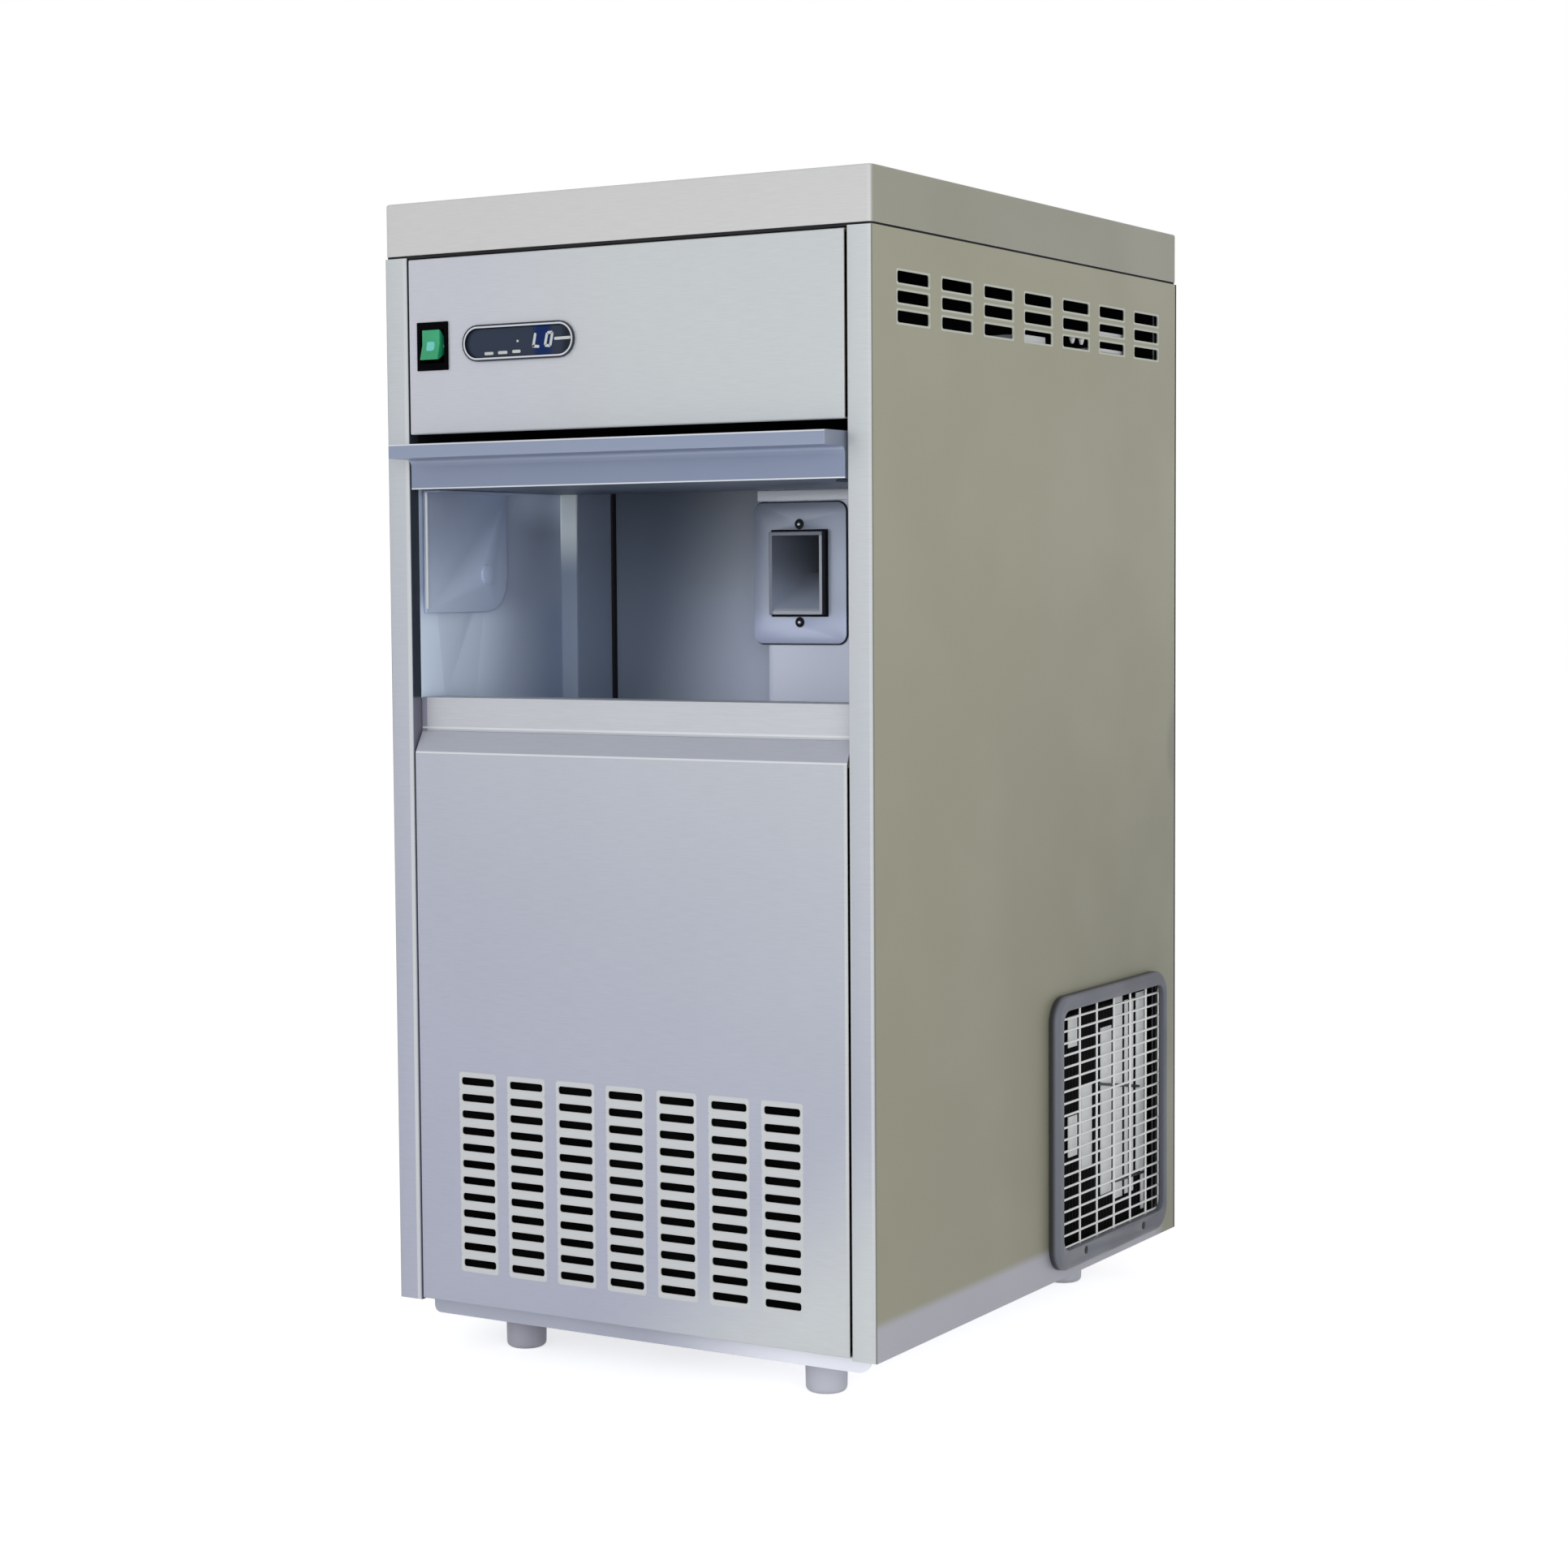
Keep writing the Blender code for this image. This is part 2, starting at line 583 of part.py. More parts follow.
def carve(body, add=(), cut=()):
    """Joins the added bodies to the first one, then takes the cutters away from it."""
    def stand(shape):
        mesh = bpy.data.meshes.new("stand")
        shape.to_mesh(mesh)
        shape.free()
        item = bpy.data.objects.new("stand", mesh)
        bpy.context.collection.objects.link(item)
        return item

    base = stand(body)
    tools = [(stand(shape), "UNION") for shape in add] + [(stand(shape), "DIFFERENCE") for shape in cut]
    for tool, operation in tools:
        modifier = base.modifiers.new(operation, "BOOLEAN")
        modifier.operation = operation
        modifier.solver = "EXACT"
        modifier.object = tool
    bpy.context.view_layer.update()
    carved = base.evaluated_get(bpy.context.evaluated_depsgraph_get()).to_mesh()
    result = bmesh.new()
    result.from_mesh(carved)
    for item in [base] + [tool for tool, _ in tools]:
        mesh = item.data
        bpy.data.objects.remove(item, do_unlink=True)
        bpy.data.meshes.remove(mesh)
    return result


def slot_grid(first, size, pitch, counts, axis, start, end):
    """Cutters for rows and columns of slots, from the top left one downwards."""
    slots = []
    for column in range(counts[0]):
        for row in range(counts[1]):
            low = (first[0] + column * pitch[0], first[1] - row * pitch[1] - size[1])
            high = (low[0] + size[0], low[1] + size[1])
            slots.append(prism(rectangle(low, high), axis, start, end))
    return join(*slots)


def smooth_route(points, steps):
    """Points on a smooth curve through the given ones."""
    ends = [points[0]] + list(points) + [points[-1]]
    route = []
    for before, start, end, after in zip(ends, ends[1:], ends[2:], ends[3:]):
        before, start, end, after = Vector(before), Vector(start), Vector(end), Vector(after)
        for step in range(steps):
            share = step / steps
            route.append(0.5 * (2 * start + (end - before) * share
                                + (2 * before - 5 * start + 4 * end - after) * share ** 2
                                + (3 * start - before - 3 * end + after) * share ** 3))
    route.append(Vector(points[-1]))
    return route


def tube(name, points, radius, slot, steps=3):
    """A pipe or hose along a smooth route through its points, straight and square at both ends."""
    first = Vector(points[0]).lerp(Vector(points[1]), 0.5)
    last = Vector(points[-1]).lerp(Vector(points[-2]), 0.5)
    points = [points[0], first, *points[1:-1], last, points[-1]]
    curve = bpy.data.curves.new(name, "CURVE")
    curve.dimensions = "3D"
    curve.bevel_depth = radius
    curve.bevel_resolution = 2
    curve.use_fill_caps = True
    route = smooth_route(points, steps)
    spline = curve.splines.new("POLY")
    spline.points.add(len(route) - 1)
    for point, place_on_route in zip(spline.points, route):
        point.co = (*place_on_route, 1)
    piece = bpy.data.objects.new(name, curve)
    curve.materials.append(finish(slot))
    piece.parent = CABINET
    bpy.context.collection.objects.link(piece)


def mirrored(outline):
    """An outline seen from above, turned over to the right side of the cabinet."""
    return [(CABINET_WIDTH - x, y) for x, y in outline]


def spread(low, high, side):
    """A box on the left side, or its mirror image on the right."""
    if side == "left":
        return box(low, high)
    return box((CABINET_WIDTH - high[0], low[1], low[2]), (CABINET_WIDTH - low[0], high[1], high[2]))


def side_panels():
    flange_front = SIDE_BACK - SHEET
    outline = [(0, 0), (PILLAR_WIDTH, 0), (PILLAR_WIDTH, RECESS_DEPTH), (PILLAR_WIDTH - SHEET, RECESS_DEPTH),
               (PILLAR_WIDTH - SHEET, SHEET), (SHEET, SHEET), (SHEET, flange_front),
               (REAR_FLANGE, flange_front),
               (REAR_FLANGE, SIDE_BACK), (0, SIDE_BACK)]
    for side in ("left", "right"):
        body = prism(outline if side == "left" else mirrored(outline), "Z", 0, SIDE_TOP)
        bottom = spread((0, 0, 0), (BOTTOM_FLANGE, SIDE_BACK, SHEET), side)
        top = spread((0, 0, SIDE_TOP - SHEET), (TOP_FLANGE, SIDE_BACK, SIDE_TOP), side)
        wall = (-OVERRUN, SHEET + OVERRUN)
        if side == "right":
            wall = (CABINET_WIDTH - SHEET - OVERRUN, CABINET_WIDTH + OVERRUN)
        cuts = [slot_grid((VENT_FIRST_Y, VENT_TOP), (VENT_WIDTH, VENT_HEIGHT),
                          (VENT_COLUMN_PITCH, VENT_ROW_PITCH), (VENT_COLUMNS, VENT_ROWS), "X", *wall)]
        if side == "right":
            low, high = grille_window(GRILLE_REBATE)
            cuts.append(prism(rounded(low, high, GRILLE_CORNER_RADIUS / 2), "X", *wall))
        place(f"side_panel_{side}", carve(body, [bottom, top], cuts), "satin_steel")


def top_cover():
    bottom = BODY_HEIGHT - LID_SKIRT
    outer = rounded((0, 0), (CABINET_WIDTH, CABINET_DEPTH), LID_CORNER_RADIUS)
    inner = rounded((SHEET, SHEET), (CABINET_WIDTH - SHEET, CABINET_DEPTH - SHEET), LID_CORNER_RADIUS - SHEET)
    shell = prism(outer, "Z", bottom, BODY_HEIGHT)
    place("top_cover", carve(shell, cut=[prism(inner, "Z", bottom - OVERRUN, BODY_HEIGHT - SHEET)]),
          "satin_steel")


def top_frame():
    """A ring of bent sheet that carries the lid on the side panels."""
    low = SIDE_TOP + FIT
    high = BODY_HEIGHT - SHEET - FIT
    levels = [(0, low), (0, high), (TOP_FRAME_FLANGE, high), (TOP_FRAME_FLANGE, high - SHEET),
              (SHEET, high - SHEET), (SHEET, low + SHEET), (TOP_FRAME_FLANGE, low + SHEET),
              (TOP_FRAME_FLANGE, low)]
    points = []
    for inset, level in levels:
        edge = TOP_FRAME_INSET + inset
        corners = rectangle((edge, edge), (CABINET_WIDTH - edge, CABINET_DEPTH - edge))
        points.extend((x, y, level) for x, y in corners)
    faces = []
    for row in range(len(levels)):
        following = (row + 1) % len(levels)
        for corner in range(4):
            after = (corner + 1) % 4
            faces.append((row * 4 + corner, row * 4 + after, following * 4 + after, following * 4 + corner))
    place("top_frame", solid(points, faces), "galvanised")


def back_panel():
    front = CABINET_DEPTH - SHEET
    sheet = box((0, front, 0), (CABINET_WIDTH, CABINET_DEPTH, SIDE_TOP))
    reach = (front - OVERRUN, CABINET_DEPTH + OVERRUN)
    holes = [
        slot_grid((BACK_VENT_LEFT, BACK_VENT_TOP), (SLOT_WIDTH, SLOT_HEIGHT),
                  (BACK_VENT_PITCH, SLOT_ROW_PITCH),
                  (BACK_VENT_COLUMNS, BACK_VENT_ROWS), "Y", *reach),
        cylinder(VALVE_THREAD_RADIUS + FIT, (VALVE_X, 0, VALVE_Z), *reach, "Y", SMALL_STEPS),
        cylinder(DRAIN_HOSE_RADIUS + FIT, (DRAIN_X, 0, DRAIN_Z), *reach, "Y", SMALL_STEPS),
        cylinder(GLAND_RADIUS + FIT, (GLAND_X, 0, GLAND_Z), *reach, "Y", SMALL_STEPS),
    ]
    place("back_panel", carve(sheet, cut=holes), "galvanised")


def base_pan():
    low = (PAN_SIDE_INSET, PAN_FRONT_INSET, -PAN_HEIGHT)
    high = (CABINET_WIDTH - PAN_SIDE_INSET, CABINET_DEPTH - PAN_FRONT_INSET, -FIT)
    hollow = box((low[0] + PAN_SHEET, low[1] + PAN_SHEET, PAN_TOP),
                 (high[0] - PAN_SHEET, high[1] - PAN_SHEET, OVERRUN))
    place("base_pan", carve(box(low, high), cut=[hollow]), "galvanised")


def feet():
    top = -PAN_HEIGHT - FIT
    bottom = -PAN_HEIGHT - FOOT_HEIGHT
    profile = [(0, bottom), (FOOT_BASE_RADIUS - FOOT_EDGE, bottom), (FOOT_BASE_RADIUS, bottom + FOOT_EDGE),
               (FOOT_TOP_RADIUS, top), (0, top)]
    for row, y in (("front", FOOT_END_INSET), ("rear", CABINET_DEPTH - FOOT_END_INSET)):
        for side, x in (("left", FOOT_SIDE_INSET), ("right", CABINET_WIDTH - FOOT_SIDE_INSET)):
            place(f"foot_{row}_{side}", turned(profile, (x, y, 0)), "foot_plastic", (x, y, top))


def lower_front_panel():
    bottom = SHEET + FIT
    lean = (SILL_LEAN_TOP - LOWER_PANEL_SHOULDER) / RECESS_DEPTH
    run = RECESS_DEPTH - FIT - SHEET * math.hypot(1, lean) / lean
    path = [(PANEL_RETURN, bottom), (0, bottom), (0, LOWER_PANEL_SHOULDER),
            (run, LOWER_PANEL_SHOULDER + run * lean)]
    outline = bent_sheet(path[::-1], SHEET)
    first = (CABINET_WIDTH - (SLOT_COLUMNS - 1) * SLOT_COLUMN_PITCH - SLOT_WIDTH) / 2
    slots = slot_grid((first, SLOT_TOP), (SLOT_WIDTH, SLOT_HEIGHT), (SLOT_COLUMN_PITCH, SLOT_ROW_PITCH),
                      (SLOT_COLUMNS, SLOT_ROWS), "Y", -OVERRUN, SHEET + OVERRUN)
    place("lower_front_panel", carve(prism(outline, "X", PANEL_LEFT, PANEL_RIGHT), cut=[slots]),
          "satin_steel")


def bin_sill():
    back = BIN_FRONT + FIT + SHEET
    path = [(RECESS_DEPTH, SILL_LEAN_TOP - SILL_HIDDEN), (RECESS_DEPTH, SILL_TOP), (back, SILL_TOP),
            (back, SILL_TOP - SILL_LIP)]
    outline = bent_sheet(path[::-1], SHEET)
    place("bin_sill", prism(outline, "X", BIN_LEFT + FIT, BIN_RIGHT - FIT), "satin_steel")


def stadium(x, z, width, height):
    return rounded((x - width / 2, z - height / 2), (x + width / 2, z + height / 2), height / 2,
                   CORNER_STEPS + 1)


def control_panel():
    flange = PANEL_RETURN
    path = [(CONTROL_RETURN, CONTROL_PANEL_BOTTOM), (0, CONTROL_PANEL_BOTTOM), (0, CONTROL_PANEL_TOP),
            (flange, CONTROL_PANEL_TOP), (flange, SIDE_TOP)]
    outline = bent_sheet(path[::-1], SHEET)
    reach = (-OVERRUN, SHEET + OVERRUN)
    body_width = SWITCH_WIDTH - 2 * SWITCH_BODY_MARGIN + 2 * FIT
    body_height = SWITCH_HEIGHT - 2 * SWITCH_BODY_MARGIN + 2 * FIT
    holes = [
        prism(rectangle((SWITCH_X - body_width / 2, SWITCH_Z - body_height / 2),
                        (SWITCH_X + body_width / 2, SWITCH_Z + body_height / 2)), "Y", *reach),
        prism(stadium(DISPLAY_X, DISPLAY_Z, DISPLAY_WIDTH - DISPLAY_RIM + 2 * FIT,
                      DISPLAY_HEIGHT - DISPLAY_RIM + 2 * FIT), "Y", *reach),
    ]
    place("control_panel", carve(prism(outline, "X", PANEL_LEFT, PANEL_RIGHT), cut=holes), "satin_steel")


def bin_outline(front, grow=0.0):
    """The bin seen from above: a narrower rear on the left and the ice outlet's box on the right."""
    left = BIN_LEFT - grow
    right = BIN_RIGHT + grow
    return [(left, front), (left, BIN_STEP_Y + grow), (left + BIN_STEP, BIN_STEP_Y + grow),
            (left + BIN_STEP, BIN_BACK + grow), (OUTLET_BOX_X + grow, BIN_BACK + grow),
            (OUTLET_BOX_X + grow, OUTLET_BOX_Y + grow), (right, OUTLET_BOX_Y + grow), (right, front)]


def spout_hole(gap, start, end):
    half = SPOUT_WIDTH / 2 + gap
    return box((CHUTE_X - half, start, SPOUT_BOTTOM - gap), (CHUTE_X + half, end, SPOUT_TOP + gap))


def bin_liner():
    outer = prism(bin_outline(LINER_FRONT, BIN_WALL), "Z", BIN_FLOOR - BIN_WALL, FOAM_TOP)
    inner = prism(bin_outline(BIN_FRONT), "Z", BIN_FLOOR, FOAM_TOP + OVERRUN)
    edge = SILL_TOP - SHEET - FIT
    mouth = box((BIN_LEFT, LINER_FRONT - OVERRUN, edge), (BIN_RIGHT, BIN_FRONT + OVERRUN, FOAM_TOP + OVERRUN))
    front = box((0, 0, 0), (CABINET_WIDTH, BIN_FRONT - BIN_WALL, edge + SHEET / 2))
    stud = DOOR_STUD_RADIUS + FIT
    cuts = [inner, mouth, front, spout_hole(FIT, OUTLET_BOX_Y - OVERRUN, OUTLET_BOX_Y + BIN_WALL + OVERRUN),
            cylinder(BIN_DRAIN_RADIUS, (BIN_DRAIN_X, BIN_DRAIN_Y, 0), 0, BIN_FLOOR + OVERRUN)]
    for low, high in ((BIN_LEFT - BIN_WALL - OVERRUN, BIN_LEFT + OVERRUN),
                      (BIN_RIGHT - OVERRUN, BIN_RIGHT + BIN_WALL + OVERRUN)):
        cuts.append(cylinder(stud, (0, PIVOT_Y, PIVOT_Z), low, high, "X"))
    drain = ring(BIN_DRAIN_RADIUS - BIN_WALL, BIN_DRAIN_RADIUS + BIN_WALL, (BIN_DRAIN_X, BIN_DRAIN_Y, 0),
                 FOAM_BOTTOM, BIN_FLOOR - BIN_WALL / 2)
    place("bin_liner", carve(carve(outer, cut=cuts), add=[drain]), "bin_steel")


def bin_insulation():
    front = RECESS_DEPTH + SHEET + FIT + SHEET
    side = SHEET + FIT
    block = box((side, front, FOAM_BOTTOM), (CABINET_WIDTH - side, FOAM_REAR, FOAM_TOP))
    edge = SILL_TOP - SHEET - FIT
    wall = BIN_WALL + FIT
    cuts = [
        prism(bin_outline(BIN_FRONT - wall, wall), "Z", BIN_FLOOR - wall, FOAM_TOP + OVERRUN),
        box((BIN_LEFT - wall, 0, edge), (BIN_RIGHT + wall, BIN_FRONT, FOAM_TOP + OVERRUN)),
        spout_hole(FIT, OUTLET_BOX_Y, FOAM_REAR + OVERRUN),
        cylinder(BIN_DRAIN_RADIUS + BIN_WALL + FIT, (BIN_DRAIN_X, BIN_DRAIN_Y, 0), 0, BIN_FLOOR),
    ]
    place("bin_insulation", carve(block, cut=cuts), "white_foam")


def electrics_deck():
    side = SHEET + FIT
    path = [(PANEL_RETURN, DECK_Z), (FOAM_REAR, DECK_Z), (FOAM_REAR, DECK_Z + DECK_LIP)]
    place("electrics_deck", prism(bent_sheet(path, SHEET), "X", side, CABINET_WIDTH - side), "galvanised")


def bin_door():
    hinge = (CABINET_WIDTH / 2, PIVOT_Y, PIVOT_Z)
    underside = DOOR_OPEN_TOP - DOOR_THICKNESS
    joint = HANDLE_WALL + FIT

    def slab(front, inset):
        low, high = underside + inset, DOOR_OPEN_TOP - inset
        slope = (DOOR_NOSE_Y - DOOR_BACK) / DOOR_THICKNESS
        rear = [(DOOR_BACK + slope * (level - underside) - inset * math.hypot(1, slope), level)
                for level in (low, high)]
        return prism([(front, low), *rear, (front, high)], "X", PANEL_LEFT + inset, PANEL_RIGHT - inset)

    leaf = carve(slab(joint, 0), cut=[slab(joint - OVERRUN, SHEET)])
    place("door_leaf", leaf, "satin_steel", hinge)
    place("door_foam", slab(joint, SHEET + FIT), "white_foam", hinge)
    door_handle(underside, hinge)
    for side in ("left", "right"):
        door_cheek(side, underside, hinge)


def door_handle(underside, hinge):
    lip_bottom = DOOR_OPEN_TOP - HANDLE_LIP
    cove_radius = HANDLE_COVE_RADIUS
    lip_back = -cove_radius
    cove = arc((lip_back, lip_bottom - cove_radius), cove_radius, 90, 0, CORNER_STEPS)
    outline = [(-HANDLE_REACH, DOOR_OPEN_TOP), (-HANDLE_REACH, lip_bottom), *cove, (0, underside),
               (HANDLE_WALL, underside), (HANDLE_WALL, DOOR_OPEN_TOP)]
    deeper = arc((lip_back, lip_bottom - cove_radius), cove_radius + HANDLE_WALL, 90, 0, CORNER_STEPS)
    hollow = [(HANDLE_WALL - HANDLE_REACH, DOOR_OPEN_TOP - HANDLE_WALL),
              (HANDLE_WALL - HANDLE_REACH, lip_bottom + HANDLE_WALL), *deeper[:-1],
              (HANDLE_WALL + OVERRUN, deeper[-2][1]), (HANDLE_WALL + OVERRUN, DOOR_OPEN_TOP - HANDLE_WALL)]
    bar = prism(outline, "X", PANEL_LEFT, PANEL_RIGHT)
    space = prism(hollow, "X", PANEL_LEFT + HANDLE_WALL, PANEL_RIGHT - HANDLE_WALL)
    place("door_handle", carve(bar, cut=[space]), "handle_alloy", hinge)


def door_cheek(side, underside, hinge):
    """A side arm of the door with its stud, which turns in the bin wall."""
    top = underside - FIT
    bottom = PIVOT_Z - CHEEK_BELOW_PIVOT
    back = PIVOT_Y + CHEEK_BEHIND_PIVOT
    plate = [(CHEEK_FRONT, top), (CHEEK_FRONT, bottom), (PIVOT_Y, bottom),
             *arc((PIVOT_Y, bottom + CHEEK_BEHIND_PIVOT), CHEEK_BEHIND_PIVOT, 270, 360, CORNER_STEPS)[1:],
             (back, top)]
    left = PANEL_LEFT
    body = prism(plate, "X", left, left + CHEEK_SHEET)
    flange = box((left, CHEEK_FRONT, top - CHEEK_SHEET), (left + CHEEK_FLANGE, back, top))
    head = cylinder(DOOR_STUD_HEAD_RADIUS, (0, PIVOT_Y, PIVOT_Z), left + CHEEK_SHEET / 2,
                    left + 2 * CHEEK_SHEET, "X")
    stud = cylinder(DOOR_STUD_RADIUS, (0, PIVOT_Y, PIVOT_Z), BIN_LEFT - BIN_WALL, left + CHEEK_SHEET / 2, "X")
    arm = carve(body, add=[flange, head, stud])
    if side == "right":
        bmesh.ops.scale(arm, vec=(-1, 1, 1), verts=arm.verts)
        bmesh.ops.translate(arm, vec=(CABINET_WIDTH, 0, 0), verts=arm.verts)
    place(f"door_cheek_{side}", arm, "bin_steel", hinge)


def power_switch():
    width, height = SWITCH_WIDTH / 2, SWITCH_HEIGHT / 2
    well_width, well_height = ROCKER_WIDTH / 2 + ROCKER_MARGIN / 2, ROCKER_HEIGHT / 2 + ROCKER_MARGIN
    flange = box((SWITCH_X - width, -SWITCH_FLANGE, SWITCH_Z - height),
                 (SWITCH_X + width, -FIT, SWITCH_Z + height))
    inset = SWITCH_BODY_MARGIN
    case = box((SWITCH_X - width + inset, -SWITCH_FLANGE / 2, SWITCH_Z - height + inset),
               (SWITCH_X + width - inset, SWITCH_BODY_DEPTH, SWITCH_Z + height - inset))
    well = box((SWITCH_X - well_width, -SWITCH_FLANGE - OVERRUN, SWITCH_Z - well_height),
               (SWITCH_X + well_width, ROCKER_PIVOT_DEPTH + ROCKER_HEIGHT / 2, SWITCH_Z + well_height))
    pivot = (SWITCH_X, ROCKER_PIVOT_DEPTH, SWITCH_Z)
    pin = ROCKER_PIN_RADIUS
    span = (SWITCH_X - ROCKER_WIDTH / 2 - ROCKER_MARGIN, SWITCH_X + ROCKER_WIDTH / 2 + ROCKER_MARGIN)
    sockets = cylinder(pin + FIT, (0, pivot[1], pivot[2]), span[0] - FIT, span[1] + FIT, "X",
                       CORNER_STEPS * 4)
    place("switch_bezel", carve(flange, add=[case], cut=[well, sockets]), "black_plastic")

    half = ROCKER_HEIGHT / 2
    face = -SWITCH_FLANGE - ROCKER_PROUD
    side = half * ROCKER_SIDE_SHARE
    near, far = ROCKER_PIVOT_DEPTH - half / 2, ROCKER_PIVOT_DEPTH + half / 2
    outline = [(face, SWITCH_Z + half), (face + ROCKER_DISH, SWITCH_Z), (face, SWITCH_Z - half),
               (near, SWITCH_Z - side), (far, SWITCH_Z - pin), (far, SWITCH_Z + pin), (near, SWITCH_Z + side)]
    rocker = prism(outline, "X", SWITCH_X - ROCKER_WIDTH / 2, SWITCH_X + ROCKER_WIDTH / 2)
    axle = cylinder(pin, (0, pivot[1], pivot[2]), *span, "X", CORNER_STEPS * 4)
    rocker = carve(rocker, add=[axle])
    bmesh.ops.rotate(rocker, cent=pivot, matrix=Matrix.Rotation(math.radians(-ROCKER_TILT), 3, "X"),
                     verts=rocker.verts)
    place("switch_rocker", rocker, "green_rocker", pivot)


def display():
    outer = stadium(DISPLAY_X, DISPLAY_Z, DISPLAY_WIDTH, DISPLAY_HEIGHT)
    sleeve = stadium(DISPLAY_X, DISPLAY_Z, DISPLAY_WIDTH - DISPLAY_RIM, DISPLAY_HEIGHT - DISPLAY_RIM)
    opening = stadium(DISPLAY_X, DISPLAY_Z, DISPLAY_WIDTH - 2 * DISPLAY_RIM, DISPLAY_HEIGHT - 2 * DISPLAY_RIM)
    rim = carve(prism(outer, "Y", -DISPLAY_PROUD - FIT, -FIT),
                add=[prism(sleeve, "Y", -DISPLAY_PROUD, DISPLAY_DEPTH)],
                cut=[prism(opening, "Y", -DISPLAY_PROUD - OVERRUN, DISPLAY_DEPTH + OVERRUN)])
    place("display_bezel", rim, "silver_trim")
    glass = stadium(DISPLAY_X, DISPLAY_Z, DISPLAY_WIDTH - 2 * (DISPLAY_RIM + FIT),
                    DISPLAY_HEIGHT - 2 * (DISPLAY_RIM + FIT))
    place("display_window", prism(glass, "Y", 0, WINDOW_THICKNESS), "dark_window")
    board_front = DISPLAY_DEPTH + FIT
    sheet = box((DISPLAY_X - DISPLAY_WIDTH / 2, board_front,
                 DISPLAY_Z - DISPLAY_HEIGHT / 2 - BOARD_MARGIN / 2),
                (DISPLAY_X + DISPLAY_WIDTH / 2 + BOARD_MARGIN, board_front + BOARD_THICKNESS,
                 DISPLAY_Z + DISPLAY_HEIGHT / 2 + BOARD_MARGIN / 2))
    chips = [box((DISPLAY_X + share * DISPLAY_WIDTH, board_front + BOARD_THICKNESS / 2,
                  DISPLAY_Z - BOARD_CHIP / 2),
                 (DISPLAY_X + share * DISPLAY_WIDTH + BOARD_CHIP, board_front + BOARD_CHIP,
                  DISPLAY_Z + BOARD_CHIP / 2))
             for share in CHIP_SHARES]
    place("control_board", carve(sheet, add=chips), "circuit_board")


def ice_outlet():
    face = OUTLET_BOX_Y - FIT
    width, height = CHUTE_PLATE_WIDTH / 2, CHUTE_PLATE_HEIGHT / 2
    front = face - CHUTE_PLATE_SHEET
    outline = rounded((CHUTE_X - width, CHUTE_Z - height), (CHUTE_X + width, CHUTE_Z + height),
                      CHUTE_PLATE_RADIUS)
    cuts = [spout_hole(SPOUT_GAP, front - OVERRUN, face + OVERRUN)]
    screws = (("top", CHUTE_Z + CHUTE_SCREW_SPREAD), ("bottom", CHUTE_Z - CHUTE_SCREW_SPREAD))
    for _, z in screws:
        cuts.append(cylinder(CHUTE_SCREW_SHANK + FIT, (CHUTE_X, 0, z), front - OVERRUN, face + OVERRUN, "Y",
                             SMALL_STEPS))
    place("chute_plate", carve(prism(outline, "Y", front, face), cut=cuts), "bin_steel")
    for name, z in screws:
        seat = front - FIT
        profile = [(0, face), (CHUTE_SCREW_SHANK, face), (CHUTE_SCREW_SHANK, seat), (CHUTE_SCREW_HEAD, seat),
                   (CHUTE_SCREW_HEAD, seat - CHUTE_SCREW_HEIGHT / 2),
                   (CHUTE_SCREW_HEAD / 2, seat - CHUTE_SCREW_HEIGHT),
                   (0, seat - CHUTE_SCREW_HEIGHT)]
        place(f"chute_screw_{name}", turned(profile, (CHUTE_X, 0, z), "Y", SMALL_STEPS), "silver_trim")
    ice_spout(front - SPOUT_REACH)


def ice_spout(front):
    """The channel from the barrel's window to the bin, with a ramp for a floor."""
    half = SPOUT_WIDTH / 2
    back = AUGER_Y - math.sqrt((BARREL_RADIUS + FIT) ** 2 - half ** 2)
    body = box((CHUTE_X - half, front, SPOUT_BOTTOM), (CHUTE_X + half, back, SPOUT_TOP))
    floor, roof = SPOUT_BOTTOM + SPOUT_WALL, SPOUT_TOP - SPOUT_WALL
    ramp_top = floor + SPOUT_RAMP_RISE
    channel = [(front - OVERRUN, floor), (front, floor), (front + SPOUT_RAMP_RUN, ramp_top),
               (AUGER_Y, ramp_top),
               (AUGER_Y, roof), (front - OVERRUN, roof)]
    inside = half - SPOUT_WALL
    barrel = cylinder(BARREL_RADIUS + FIT, (AUGER_X, AUGER_Y, 0), SPOUT_BOTTOM - OVERRUN, SPOUT_TOP + OVERRUN)
    place("ice_spout", carve(body, cut=[barrel, prism(channel, "X", CHUTE_X - inside, CHUTE_X + inside)]),
          "white_plastic")


